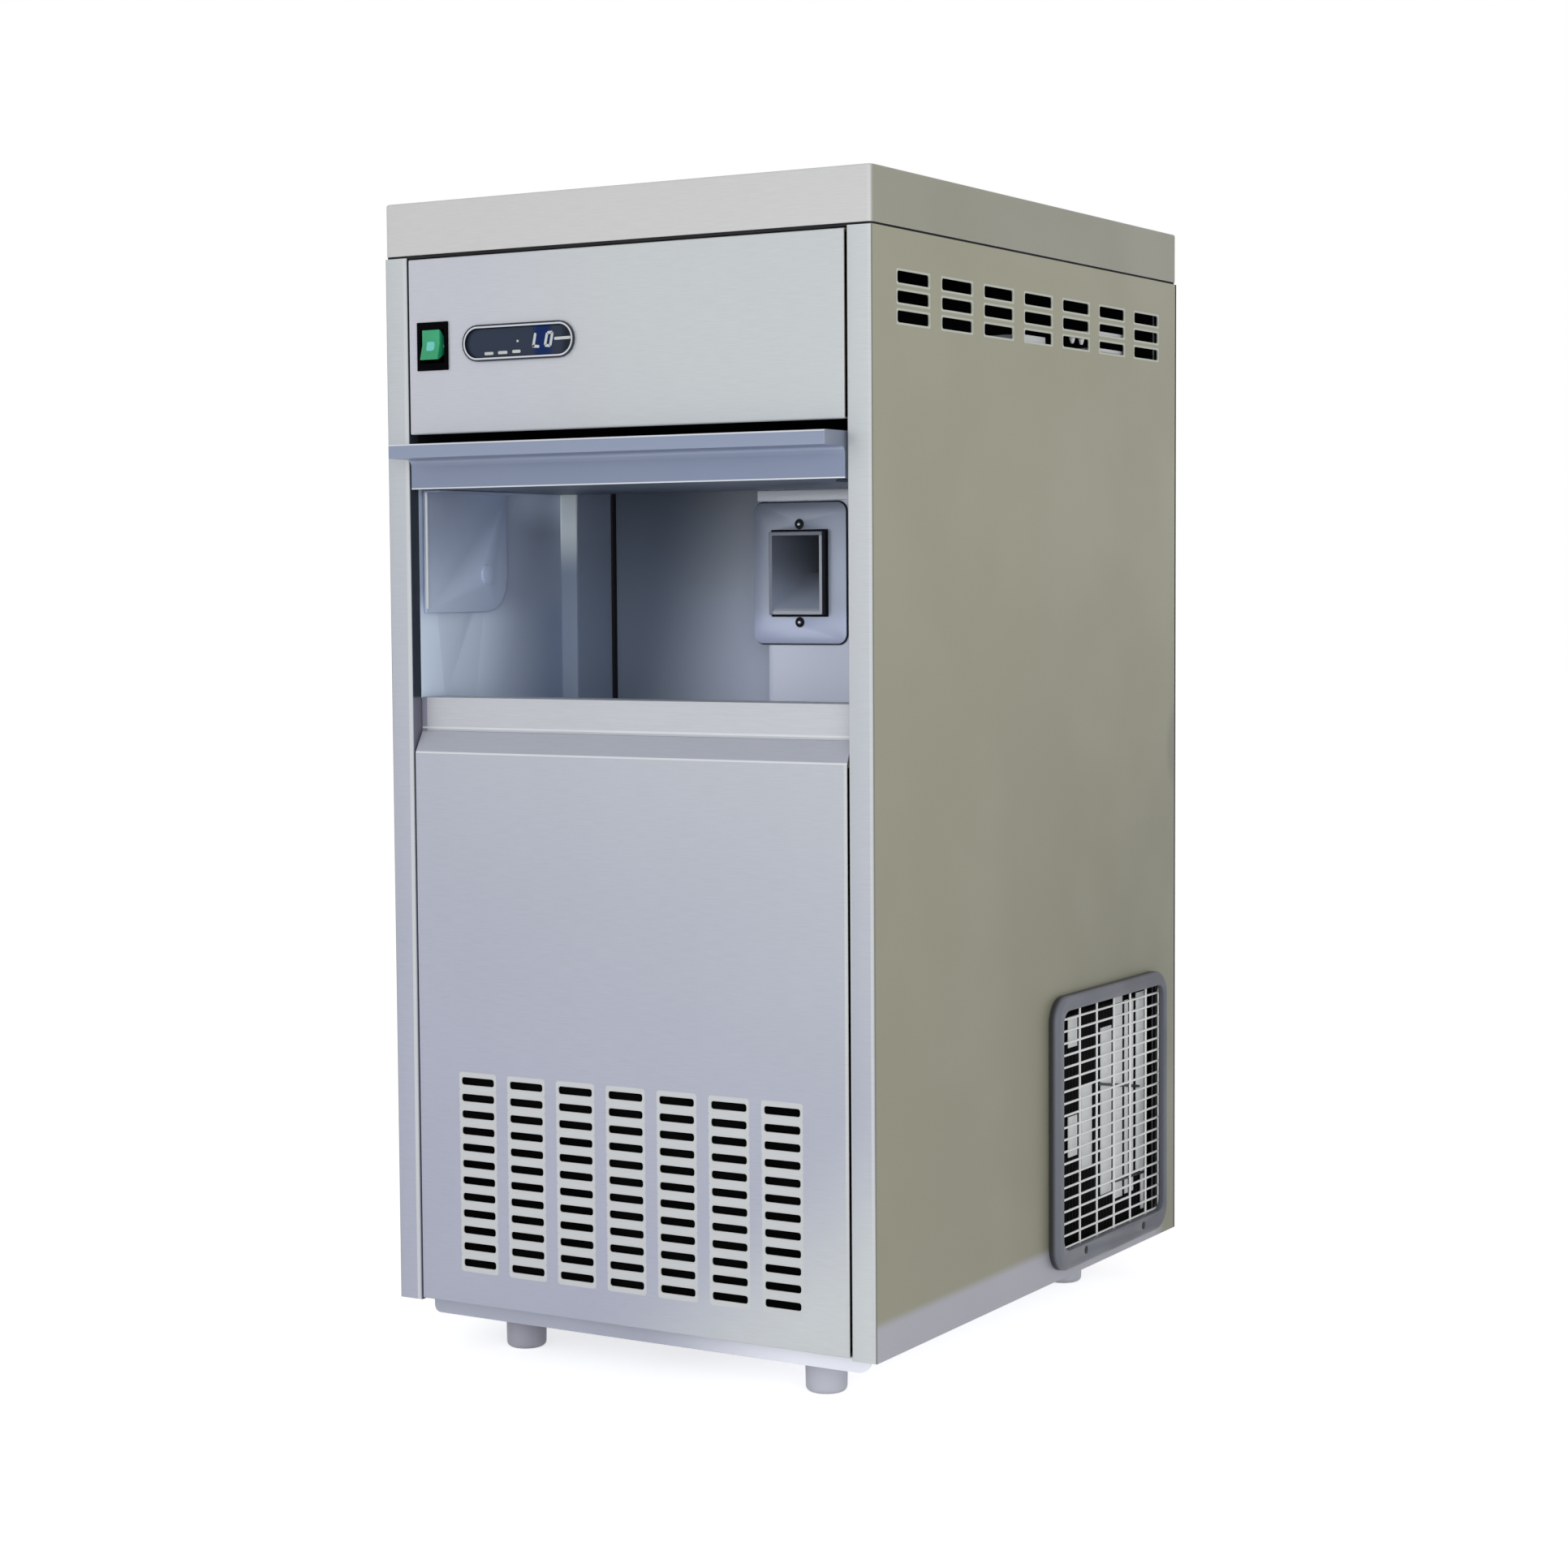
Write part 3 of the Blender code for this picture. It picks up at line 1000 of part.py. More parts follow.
def evaporator():
    centre = (AUGER_X, AUGER_Y, 0)
    seal = AUGER_SHAFT_RADIUS + FIT
    floor = BARREL_BOTTOM + BARREL_FLOOR
    profile = [(seal, BARREL_BOTTOM), (BARREL_RADIUS, BARREL_BOTTOM), (BARREL_RADIUS, BARREL_TOP),
               (BARREL_BORE_RADIUS, BARREL_TOP), (BARREL_BORE_RADIUS, floor), (seal, floor)]
    half = SPOUT_WIDTH / 2 - SPOUT_WALL
    ramp_top = SPOUT_BOTTOM + SPOUT_WALL + SPOUT_RAMP_RISE
    window = box((AUGER_X - half, AUGER_Y - BARREL_RADIUS - OVERRUN, ramp_top),
                 (AUGER_X + half, AUGER_Y, SPOUT_TOP - SPOUT_WALL))
    place("evaporator_barrel", carve(turned(profile, centre), cut=[window]), "bin_steel")
    place("evaporator_jacket", ring(BARREL_RADIUS + FIT, JACKET_RADIUS, centre, JACKET_BOTTOM, JACKET_TOP),
          "white_foam")
    head_seat = BARREL_TOP + FIT
    plug = BARREL_BORE_RADIUS - FIT
    bore = AUGER_JOURNAL_RADIUS + FIT
    head = [(bore, BARREL_TOP - AUGER_HEAD_PLUG), (plug, BARREL_TOP - AUGER_HEAD_PLUG), (plug, head_seat),
            (BARREL_RADIUS, head_seat), (BARREL_RADIUS, head_seat + AUGER_HEAD_FLANGE),
            (bore, head_seat + AUGER_HEAD_FLANGE)]
    place("auger_head", turned(head, centre), "cast_alloy")


def helix(inner, outer, thickness, low, high, pitch, steps_per_turn):
    """A screw flight: a rectangle carried round and up the shaft."""
    steps = round((high - low - thickness) / pitch * steps_per_turn)
    points = []
    for step in range(steps + 1):
        angle = math.tau * (step + AUGER_START_SHARE) / steps_per_turn
        level = low + pitch * step / steps_per_turn
        for radius, rise in ((inner, 0), (outer, 0), (outer, thickness), (inner, thickness)):
            points.append((AUGER_X + radius * math.cos(angle), AUGER_Y + radius * math.sin(angle),
                           level + rise))
    faces = [(0, 1, 2, 3), tuple(4 * steps + index for index in range(4))]
    for step in range(steps):
        for index in range(4):
            following = (index + 1) % 4
            faces.append((4 * step + index, 4 * step + following, 4 * step + 4 + following,
                          4 * step + 4 + index))
    return solid(points, faces)


def auger():
    centre = (AUGER_X, AUGER_Y, 0)
    bottom = GEARBOX_BOTTOM + GEARBOX_FLOOR - SHAFT_POCKET + FIT
    shoulder = BARREL_TOP - AUGER_HEAD_PLUG - FIT
    shaft = turned([(0, bottom), (AUGER_SHAFT_RADIUS, bottom), (AUGER_SHAFT_RADIUS, shoulder),
                    (AUGER_JOURNAL_RADIUS, shoulder), (AUGER_JOURNAL_RADIUS, shoulder + AUGER_JOURNAL),
                    (0, shoulder + AUGER_JOURNAL)], centre, steps=AUGER_STEPS)
    flight = helix(AUGER_SHAFT_RADIUS / 2, BARREL_BORE_RADIUS - AUGER_FLIGHT_GAP, AUGER_FLIGHT_SHEET,
                   BARREL_BOTTOM + BARREL_FLOOR + RUNNING_GAP, SPOUT_BOTTOM + SPOUT_WALL + SPOUT_RAMP_RISE,
                   AUGER_PITCH, AUGER_STEPS_PER_TURN)
    place("auger", carve(shaft, add=[flight]), "bin_steel", (AUGER_X, AUGER_Y, bottom))


def gear_outline(centre, teeth, first_angle):
    """A spur gear with straight-sided teeth that run clear of their mates."""
    pitch_radius = GEAR_MODULE * teeth / 2
    tooth = math.tau / teeth
    root, tip = (pitch_radius + share * GEAR_MODULE for share in TOOTH_DEPTH_SHARES)
    foot, crest = TOOTH_WIDTH_SHARES
    rows = [(root, -foot), (tip, -crest), (tip, crest), (root, foot)]
    points = []
    for number in range(teeth):
        for radius, share in rows:
            angle = first_angle + (number + share) * tooth
            points.append((centre[0] + radius * math.cos(angle), centre[1] + radius * math.sin(angle)))
    return points


def capsule(left, right, y, radius):
    return arc((right, y), radius, -90, 90, 2 * CORNER_STEPS) + arc((left, y), radius, 90, 270,
                                                                    2 * CORNER_STEPS)


def drive():
    span = (MOTOR_X, AUGER_X, AUGER_Y)
    centre = (AUGER_X, AUGER_Y, 0)
    motor = (MOTOR_X, AUGER_Y, 0)
    case = prism(capsule(*span, GEARBOX_RADIUS), "Z", GEARBOX_BOTTOM, GEARBOX_TOP)
    floor = GEARBOX_BOTTOM + GEARBOX_FLOOR
    cuts = [prism(capsule(*span, GEARBOX_BORE), "Z", floor, GEARBOX_TOP + OVERRUN),
            cylinder(AUGER_SHAFT_RADIUS + FIT, centre, floor - SHAFT_POCKET, floor + OVERRUN),
            cylinder(MOTOR_SHAFT_RADIUS + FIT, motor, GEARBOX_BOTTOM - OVERRUN, floor + OVERRUN)]
    place("gearbox_housing", carve(case, cut=cuts), "cast_alloy")

    gear = prism(gear_outline(centre, DRIVE_TEETH, 0), "Z", GEAR_BOTTOM, GEAR_BOTTOM + GEAR_WIDTH)
    bore = cylinder(AUGER_SHAFT_RADIUS + FIT, centre, GEAR_BOTTOM - OVERRUN,
                    GEAR_BOTTOM + GEAR_WIDTH + OVERRUN)
    place("drive_gear", carve(gear, cut=[bore]), "brass", (AUGER_X, AUGER_Y, GEAR_BOTTOM))

    half_tooth = math.pi / PINION_TEETH
    pinion = prism(gear_outline(motor, PINION_TEETH, half_tooth), "Z", GEAR_BOTTOM, GEAR_BOTTOM + GEAR_WIDTH)
    rotor = cylinder(MOTOR_SHAFT_RADIUS, motor, GEARBOX_BOTTOM - MOTOR_SHAFT_DEPTH + FIT,
                     GEARBOX_TOP - GEAR_END_GAP / 2)
    place("motor_pinion", carve(pinion, add=[rotor]), "satin_steel", (MOTOR_X, AUGER_Y, GEAR_BOTTOM))

    motor_top = GEARBOX_BOTTOM - FIT
    body = cylinder(MOTOR_RADIUS, motor, motor_top - MOTOR_HEIGHT, motor_top)
    well = cylinder(MOTOR_SHAFT_RADIUS + FIT, motor, motor_top - MOTOR_SHAFT_DEPTH, motor_top + OVERRUN)
    place("gear_motor", carve(body, cut=[well]), "black_enamel")
    barrel_stand(span, centre)
    drive_stand()


def barrel_stand(span, centre):
    """The gearbox cover with the tube that carries the barrel."""
    low = GEARBOX_TOP + FIT
    cover = prism(capsule(*span, GEARBOX_RADIUS), "Z", low, low + GEARBOX_COVER)
    tube_profile = [(BARREL_STAND_RADIUS - BARREL_STAND_WALL, low + GEARBOX_COVER / 2),
                    (BARREL_STAND_RADIUS, low + GEARBOX_COVER / 2),
                    (BARREL_STAND_RADIUS, STAND_TOP - BARREL_STAND_FLANGE),
                    (BARREL_RADIUS, STAND_TOP - BARREL_STAND_FLANGE), (BARREL_RADIUS, STAND_TOP),
                    (BARREL_STAND_RADIUS - BARREL_STAND_WALL, STAND_TOP)]
    bore = cylinder(AUGER_SHAFT_RADIUS + RUNNING_GAP, centre, low - OVERRUN, STAND_TOP + OVERRUN)
    place("barrel_stand", carve(cover, add=[turned(tube_profile, centre)], cut=[bore]), "cast_alloy")


def drive_stand():
    bottom = PAN_TOP + FIT
    top = GEARBOX_BOTTOM - FIT
    front, back = AUGER_Y - GEARBOX_RADIUS, AUGER_Y + GEARBOX_RADIUS
    sole = bottom + STAND_SHEET
    path = [(front - STAND_FOOT, sole), (front, sole), (front, top), (back, top), (back, sole),
            (back + STAND_FOOT, sole)]
    outline = bent_sheet(path[::-1], STAND_SHEET)
    hole = cylinder(MOTOR_RADIUS + FIT, (MOTOR_X, AUGER_Y, 0), bottom, top + OVERRUN)
    place("drive_stand", carve(prism(outline, "X", MOTOR_X - GEARBOX_RADIUS, AUGER_X + GEARBOX_RADIUS),
                               cut=[hole]),
          "galvanised")


def compressor():
    x, y, z = COMPRESSOR_X, COMPRESSOR_Y, COMPRESSOR_PLATE_Z
    radius, dome = COMPRESSOR_RADIUS, COMPRESSOR_DOME
    low, high = z + COMPRESSOR_PLATE / 2, z + COMPRESSOR_HEIGHT
    seam = z + COMPRESSOR_SEAM_Z
    lip = COMPRESSOR_SEAM_LIP
    dome_arc = [(radius - dome + dome * math.cos(angle), high - dome + dome * math.sin(angle))
                for angle in (math.pi / 2 * step / (CORNER_STEPS + 1) for step in range(CORNER_STEPS + 2))]
    profile = [(0, low), (radius - dome / 2, low), (radius, low + dome / 2), (radius, seam - lip),
               (radius + lip, seam - lip), (radius + lip, seam + lip), *dome_arc, (0, high)]
    can = turned(profile, (x, y, 0))
    plate = box((x - COMPRESSOR_PLATE_WIDTH / 2, y - COMPRESSOR_PLATE_DEPTH / 2, z),
                (x + COMPRESSOR_PLATE_WIDTH / 2, y + COMPRESSOR_PLATE_DEPTH / 2, z + COMPRESSOR_PLATE))
    inset = COMPRESSOR_MOUNT_RADIUS
    feet_places = [(x + side * (COMPRESSOR_PLATE_WIDTH / 2 - inset),
                    y + end * (COMPRESSOR_PLATE_DEPTH / 2 - inset))
                   for side in (-1, 1) for end in (-1, 1)]
    mounts = [cylinder(COMPRESSOR_MOUNT_RADIUS, (px, py, 0), PAN_TOP + FIT, z + COMPRESSOR_PLATE / 2,
                       steps=SMALL_STEPS) for px, py in feet_places]
    ports = [cylinder(COMPRESSOR_PORT_RADIUS, (0, y, DISCHARGE_PORT_Z), x + radius - COMPRESSOR_PORT_LENGTH,
                      x + radius + COMPRESSOR_PORT_LENGTH, "X", SMALL_STEPS),
             cylinder(COMPRESSOR_PORT_RADIUS, (SUCTION_PORT_X, 0, SUCTION_PORT_Z), y,
                      y + radius + COMPRESSOR_PORT_LENGTH, "Y", SMALL_STEPS)]
    wall, mouth = COMPRESSOR_WALL, COMPRESSOR_MOUTH_RADIUS
    inside = [(0, z - OVERRUN), (mouth, z - OVERRUN), (mouth, low + wall),
              (radius - (dome + wall) / 2, low + wall),
              (radius - wall, low + (dome + wall) / 2), (radius - wall, high - dome),
              (radius - dome, high - wall),
              (0, high - wall)]
    place("compressor", carve(can, add=[plate, *mounts, *ports], cut=[turned(inside, (x, y, 0))]),
          "black_enamel")


def condenser():
    """Upright fins on a tube plate, behind the side grille."""
    pitch = (CONDENSER_BACK - CONDENSER_FRONT - CONDENSER_FIN) / (CONDENSER_FINS - 1)
    spine = CONDENSER_LEFT + CONDENSER_PLATE
    outline = [(CONDENSER_LEFT, CONDENSER_BACK), (CONDENSER_LEFT, CONDENSER_FRONT)]
    for fin in range(CONDENSER_FINS):
        start = CONDENSER_FRONT + fin * pitch
        outline += [(CONDENSER_RIGHT, start), (CONDENSER_RIGHT, start + CONDENSER_FIN)]
        if fin < CONDENSER_FINS - 1:
            outline += [(spine, start + CONDENSER_FIN), (spine, start + pitch)]
    place("condenser", prism(outline, "Z", CONDENSER_BOTTOM, CONDENSER_TOP), "fin_alloy")


def fan():
    axis = (0, FAN_Y, FAN_Z)
    plate = box((SHROUD_X - SHROUD_SHEET, CONDENSER_FRONT, CONDENSER_BOTTOM),
                (SHROUD_X, CONDENSER_BACK, CONDENSER_TOP))
    throat = FAN_RADIUS + FAN_TIP_GAP
    lip = ring(throat, throat + SHROUD_SHEET, axis, SHROUD_X - SHROUD_SHEET - SHROUD_LIP,
               SHROUD_X - SHROUD_SHEET / 2,
               "X", 2 * ROUND_STEPS)
    hole = cylinder(throat, axis, SHROUD_X - SHROUD_SHEET - SHROUD_LIP - OVERRUN, SHROUD_X + OVERRUN, "X",
                    2 * ROUND_STEPS)
    edge = SHROUD_X - SHROUD_SHEET / 2
    path = [(edge, CONDENSER_TOP), (BRACKET_X, CONDENSER_TOP), (BRACKET_X, CONDENSER_BOTTOM),
            (edge, CONDENSER_BOTTOM)]
    bracket = prism(bent_sheet(path, SHROUD_SHEET), "Y", FAN_Y - SHROUD_BRACKET_WIDTH / 2,
                    FAN_Y + SHROUD_BRACKET_WIDTH / 2)
    place("fan_shroud", carve(plate, add=[lip, bracket], cut=[hole]), "galvanised")

    motor_left = MOTOR_FACE_X - FAN_MOTOR_LENGTH
    motor = cylinder(FAN_MOTOR_RADIUS, axis, motor_left + SHROUD_SHEET, MOTOR_FACE_X, "X")
    well = cylinder(FAN_SHAFT_RADIUS + FIT, axis, MOTOR_FACE_X - FAN_SHAFT_LENGTH - FIT,
                    MOTOR_FACE_X + OVERRUN, "X")
    place("fan_motor", carve(motor, cut=[well]), "black_enamel", (motor_left, FAN_Y, FAN_Z))

    hub = cylinder(FAN_HUB_RADIUS, axis, FAN_HUB_LEFT, FAN_HUB_RIGHT, "X")
    shaft = cylinder(FAN_SHAFT_RADIUS, axis, MOTOR_FACE_X - FAN_SHAFT_LENGTH,
                     FAN_HUB_LEFT + FAN_HUB_LENGTH / 2,
                     "X", SMALL_STEPS)
    middle = (FAN_HUB_LEFT + FAN_HUB_RIGHT) / 2
    blades = []
    for number in range(FAN_BLADES):
        blade = box((-FAN_BLADE_SHEET / 2, -FAN_BLADE_WIDTH / 2, FAN_HUB_RADIUS / 2),
                    (FAN_BLADE_SHEET / 2, FAN_BLADE_WIDTH / 2,
                     math.sqrt(FAN_RADIUS ** 2 - (FAN_BLADE_WIDTH / 2) ** 2)))
        bmesh.ops.rotate(blade, matrix=Matrix.Rotation(math.radians(FAN_BLADE_PITCH), 3, "Z"),
                         verts=blade.verts)
        bmesh.ops.rotate(blade, matrix=Matrix.Rotation(math.tau * number / FAN_BLADES, 3, "X"),
                         verts=blade.verts)
        bmesh.ops.translate(blade, vec=(middle, FAN_Y, FAN_Z), verts=blade.verts)
        blades.append(blade)
    place("fan_blade", carve(hub, add=[shaft, *blades]), "grey_plastic", (FAN_HUB_LEFT, FAN_Y, FAN_Z))


def grille_window(grow):
    """The clear opening of the grille frame, in y and z."""
    return ((GRILLE_Y + GRILLE_BORDER_SIDE - grow, GRILLE_Z + GRILLE_BORDER_BOTTOM - grow),
            (GRILLE_Y + GRILLE_WIDTH - GRILLE_BORDER_SIDE + grow,
             GRILLE_Z + GRILLE_HEIGHT - GRILLE_BORDER_TOP + grow))


def grille():
    inner_face = CABINET_WIDTH + FIT
    outer_face = CABINET_WIDTH + GRILLE_PROUD
    lip_back = outer_face - GRILLE_LIP
    block = prism(rounded((GRILLE_Y, GRILLE_Z), (GRILLE_Y + GRILLE_WIDTH, GRILLE_Z + GRILLE_HEIGHT),
                          GRILLE_CORNER_RADIUS), "X", inner_face, outer_face)
    window = prism(rounded(*grille_window(0), GRILLE_CORNER_RADIUS / 2), "X", inner_face - OVERRUN,
                   outer_face + OVERRUN)
    rebate = prism(rectangle(*grille_window(GRILLE_REBATE)), "X", inner_face - OVERRUN, lip_back)
    place("grille_frame", carve(block, cut=[window, rebate]), "grey_plastic")
    low, high = grille_window(GRILLE_REBATE - FIT)
    wire_face = lip_back - FIT
    place("grille_mesh", wire_net(low, high, wire_face - MESH_WIRE, wire_face), "silver_trim")


def wire_net(low, high, back, face):
    """A flat net of square wires: solid cells where a wire runs, and open ones between."""
    def edges(start, end, gaps):
        pitch = (end - start - MESH_WIRE) / gaps
        return [edge for wire in range(gaps + 1) for edge in (start + wire * pitch,
                                                              start + wire * pitch + MESH_WIRE)]

    columns = edges(low[0], high[0], MESH_COLUMNS)
    rows = edges(low[1], high[1], MESH_ROWS)
    body = bmesh.new()
    grid = [[[body.verts.new((x, y, z)) for x in (back, face)] for z in rows] for y in columns]
    filled = {(i, j) for i in range(len(columns) - 1) for j in range(len(rows) - 1)
              if i % 2 == 0 or j % 2 == 0}
    for i, j in sorted(filled):
        for side in (0, 1):
            body.faces.new([grid[i][j][side], grid[i + 1][j][side], grid[i + 1][j + 1][side],
                            grid[i][j + 1][side]])
        walls = (((i - 1, j), (i, j), (i, j + 1)), ((i + 1, j), (i + 1, j), (i + 1, j + 1)),
                 ((i, j - 1), (i, j), (i + 1, j)), ((i, j + 1), (i, j + 1), (i + 1, j + 1)))
        for neighbour, first, second in walls:
            if neighbour not in filled:
                body.faces.new([grid[first[0]][first[1]][0], grid[second[0]][second[1]][0],
                                grid[second[0]][second[1]][1], grid[first[0]][first[1]][1]])
    return body


def on_circle(centre, radius, direction):
    """A point at a distance from an upright axis, in a direction given in x and y."""
    length = math.hypot(*direction)
    return centre[0] + radius * direction[0] / length, centre[1] + radius * direction[1] / length


def between(start, end, shares):
    """Points from start to end, each given by its share of the way in x, y and z."""
    return [tuple(a + (b - a) * share for a, b, share in zip(start, end, row)) for row in shares]


def filter_drier():
    top = DRIER_Z + DRIER_LENGTH
    profile = [(0, DRIER_Z), (DRIER_NECK_RADIUS, DRIER_Z), (DRIER_NECK_RADIUS, DRIER_Z + DRIER_NECK / 2),
               (DRIER_RADIUS, DRIER_Z + DRIER_NECK), (DRIER_RADIUS, top - DRIER_NECK),
               (DRIER_NECK_RADIUS, top - DRIER_NECK / 2), (DRIER_NECK_RADIUS, top), (0, top)]
    place("filter_drier", turned(profile, (DRIER_X, DRIER_Y, 0), steps=ROUND_STEPS // 2), "copper")


def refrigerant_pipes():
    header_x = CONDENSER_LEFT + CONDENSER_THICKNESS / 2
    start = (COMPRESSOR_X + COMPRESSOR_RADIUS + COMPRESSOR_PORT_LENGTH + FIT, COMPRESSOR_Y, DISCHARGE_PORT_Z)
    end = (header_x, CONDENSER_FRONT - FIT, CONDENSER_TOP - PIPE_HEADER_DROP)
    tube("discharge_pipe", between(start, end, DISCHARGE_SHARES), PIPE_RADIUS, "copper")

    low = CONDENSER_BOTTOM + PIPE_HEADER_DROP
    start = (header_x, CONDENSER_BACK + FIT, low)
    lane = SIDE_BACK - PIPE_LANE_GAP
    end = (DRIER_X, DRIER_Y, DRIER_Z - FIT)
    bend = PIPE_BEND
    tube("liquid_pipe", [start, (header_x, (start[1] + lane) / 2, low), (header_x - bend, lane, low),
                         *between((header_x - 2 * bend, lane, low), (DRIER_X + 2 * bend, lane, low),
                                  LANE_SHARES),
                         (DRIER_X + bend / 2, lane - bend / 2, low), (end[0], end[1] + bend / 4, low + bend),
                         (end[0], end[1], end[2] - bend / 2), end], PIPE_RADIUS, "copper")

    axis = (AUGER_X, AUGER_Y)
    level = JACKET_BOTTOM + JACKET_PORT_GAP
    start = (DRIER_X, DRIER_Y, DRIER_Z + DRIER_LENGTH + FIT)
    outside = (*on_circle(axis, JACKET_RADIUS + bend, CAPILLARY_SIDE_SHARES), level)
    tube("capillary", [*between(start, outside, CAPILLARY_SHARES), outside,
                       (*on_circle(axis, JACKET_RADIUS + FIT, CAPILLARY_SIDE_SHARES), level)],
         CAPILLARY_RADIUS, "copper")

    level = JACKET_TOP - JACKET_PORT_GAP
    outside = (AUGER_X - JACKET_RADIUS - bend, AUGER_Y, level)
    end = (SUCTION_PORT_X, COMPRESSOR_Y + COMPRESSOR_RADIUS + COMPRESSOR_PORT_LENGTH + FIT, SUCTION_PORT_Z)
    before = (end[0], end[1] + bend, end[2])
    tube("suction_pipe", [(AUGER_X - JACKET_RADIUS - FIT, AUGER_Y, level), outside,
                          *between(outside, before, SUCTION_SHARES), before, end], PIPE_RADIUS, "copper")


def water_tank():
    low = (TANK_X, TANK_FRONT, TANK_BOTTOM)
    high = (TANK_X + TANK_WIDTH, TANK_BACK, TANK_RIM)
    wall = TANK_WALL
    hollow = box((low[0] + wall, low[1] + wall, low[2] + wall),
                 (high[0] - wall, high[1] - wall, high[2] + OVERRUN))
    outlet = (TANK_X + TANK_WIDTH / 4, TANK_FRONT + TANK_DEPTH / 4, 0)
    spigot = cylinder(TANK_SPIGOT_RADIUS, outlet, TANK_BOTTOM - TANK_SPIGOT_LENGTH, TANK_BOTTOM + wall / 2,
                      steps=SMALL_STEPS)
    bore = cylinder(TANK_SPIGOT_RADIUS - wall, outlet, TANK_BOTTOM - TANK_SPIGOT_LENGTH - OVERRUN,
                    TANK_BOTTOM + 2 * wall, steps=SMALL_STEPS)
    port = cylinder(VALVE_THREAD_RADIUS + FIT, (VALVE_X, 0, VALVE_Z), TANK_BACK - 2 * wall,
                    TANK_BACK + OVERRUN, "Y",
                    SMALL_STEPS)
    place("water_tank", carve(box(low, high), add=[spigot], cut=[hollow, bore, port]), "white_plastic")

    lid_low = TANK_RIM + FIT
    plate = box((low[0] - wall, low[1] - wall, lid_low), (high[0] + wall, high[1], lid_low + wall))
    inside = wall + FIT
    tongue = box((low[0] + inside, low[1] + inside, lid_low - TANK_LID_LIP / 4),
                 (high[0] - inside, high[1] - inside, lid_low + wall / 2))
    place("tank_lid", carve(plate, add=[tongue]), "white_plastic")

    centre = (axis_x, axis_y) = (AUGER_X, AUGER_Y)
    level = (BARREL_BOTTOM + JACKET_BOTTOM) / 2
    start = (outlet[0], outlet[1], TANK_BOTTOM - TANK_SPIGOT_LENGTH - FIT)
    outside = (*on_circle(centre, BARREL_RADIUS + HOSE_LEAD, FEED_SIDE_SHARES), level)
    tube("feed_hose", [*between(start, outside, FEED_SHARES), outside,
                       (*on_circle((axis_x, axis_y), BARREL_RADIUS + HOSE_RADIUS / 2, FEED_SIDE_SHARES),
                        level)],
         HOSE_RADIUS, "clear_hose")


def float_valve():
    """The valve is clamped in the tank's rear wall, and its threaded inlet comes out of the back panel."""
    seat = TANK_BACK - TANK_WALL - FIT
    front = seat - VALVE_BODY_LENGTH
    rear = CABINET_DEPTH + REAR_REACH
    profile = [(0, front), (VALVE_NUT_RADIUS, front), (VALVE_NUT_RADIUS, seat), (VALVE_THREAD_RADIUS, seat),
               (VALVE_THREAD_RADIUS, rear), (VALVE_BORE_RADIUS, rear), (VALVE_BORE_RADIUS, seat), (0, seat)]
    body = turned(profile, (VALVE_X, 0, VALVE_Z), "Y", SMALL_STEPS)
    half, ear = VALVE_BODY_WIDTH / 2, VALVE_EAR
    ears = [box((x, front - VALVE_EAR_HEIGHT, FLOAT_PIVOT_Z - VALVE_EAR_HEIGHT / 2),
                (x + ear, front + ear, FLOAT_PIVOT_Z + VALVE_EAR_HEIGHT / 2))
            for x in (VALVE_X - half, VALVE_X + half - ear)]
    pin = cylinder(FLOAT_ARM_RADIUS + FIT, (0, FLOAT_PIVOT_Y, FLOAT_PIVOT_Z), VALVE_X - half - OVERRUN,
                   VALVE_X + half + OVERRUN, "X", SMALL_STEPS)
    place("float_valve", carve(body, add=ears, cut=[pin]), "brass")

    pivot = (VALVE_X, FLOAT_PIVOT_Y, FLOAT_PIVOT_Z)
    axle = cylinder(FLOAT_ARM_RADIUS, (0, FLOAT_PIVOT_Y, FLOAT_PIVOT_Z), VALVE_X - half, VALVE_X + half,
                    "X", ROD_STEPS)
    hub = cylinder(2 * FLOAT_ARM_RADIUS, (0, FLOAT_PIVOT_Y, FLOAT_PIVOT_Z),
                   VALVE_X - half + ear + RUNNING_GAP,
                   VALVE_X + half - ear - RUNNING_GAP, "X", ROD_STEPS)
    arm = cylinder(FLOAT_ARM_RADIUS, (VALVE_X, 0, FLOAT_PIVOT_Z), FLOAT_PIVOT_Y - FLOAT_ARM_LENGTH,
                   FLOAT_PIVOT_Y,
                   "Y", ROD_STEPS)
    top = FLOAT_PIVOT_Z + FLOAT_RISE
    ball = cylinder(FLOAT_RADIUS, (VALVE_X, FLOAT_PIVOT_Y - FLOAT_ARM_LENGTH, 0), top - FLOAT_HEIGHT, top,
                    steps=AUGER_STEPS)
    lever = carve(ball, add=[arm, hub, axle])
    bmesh.ops.rotate(lever, cent=pivot, matrix=Matrix.Rotation(math.radians(FLOAT_DROOP), 3, "X"),
                     verts=lever.verts)
    place("float", lever, "white_plastic", pivot)


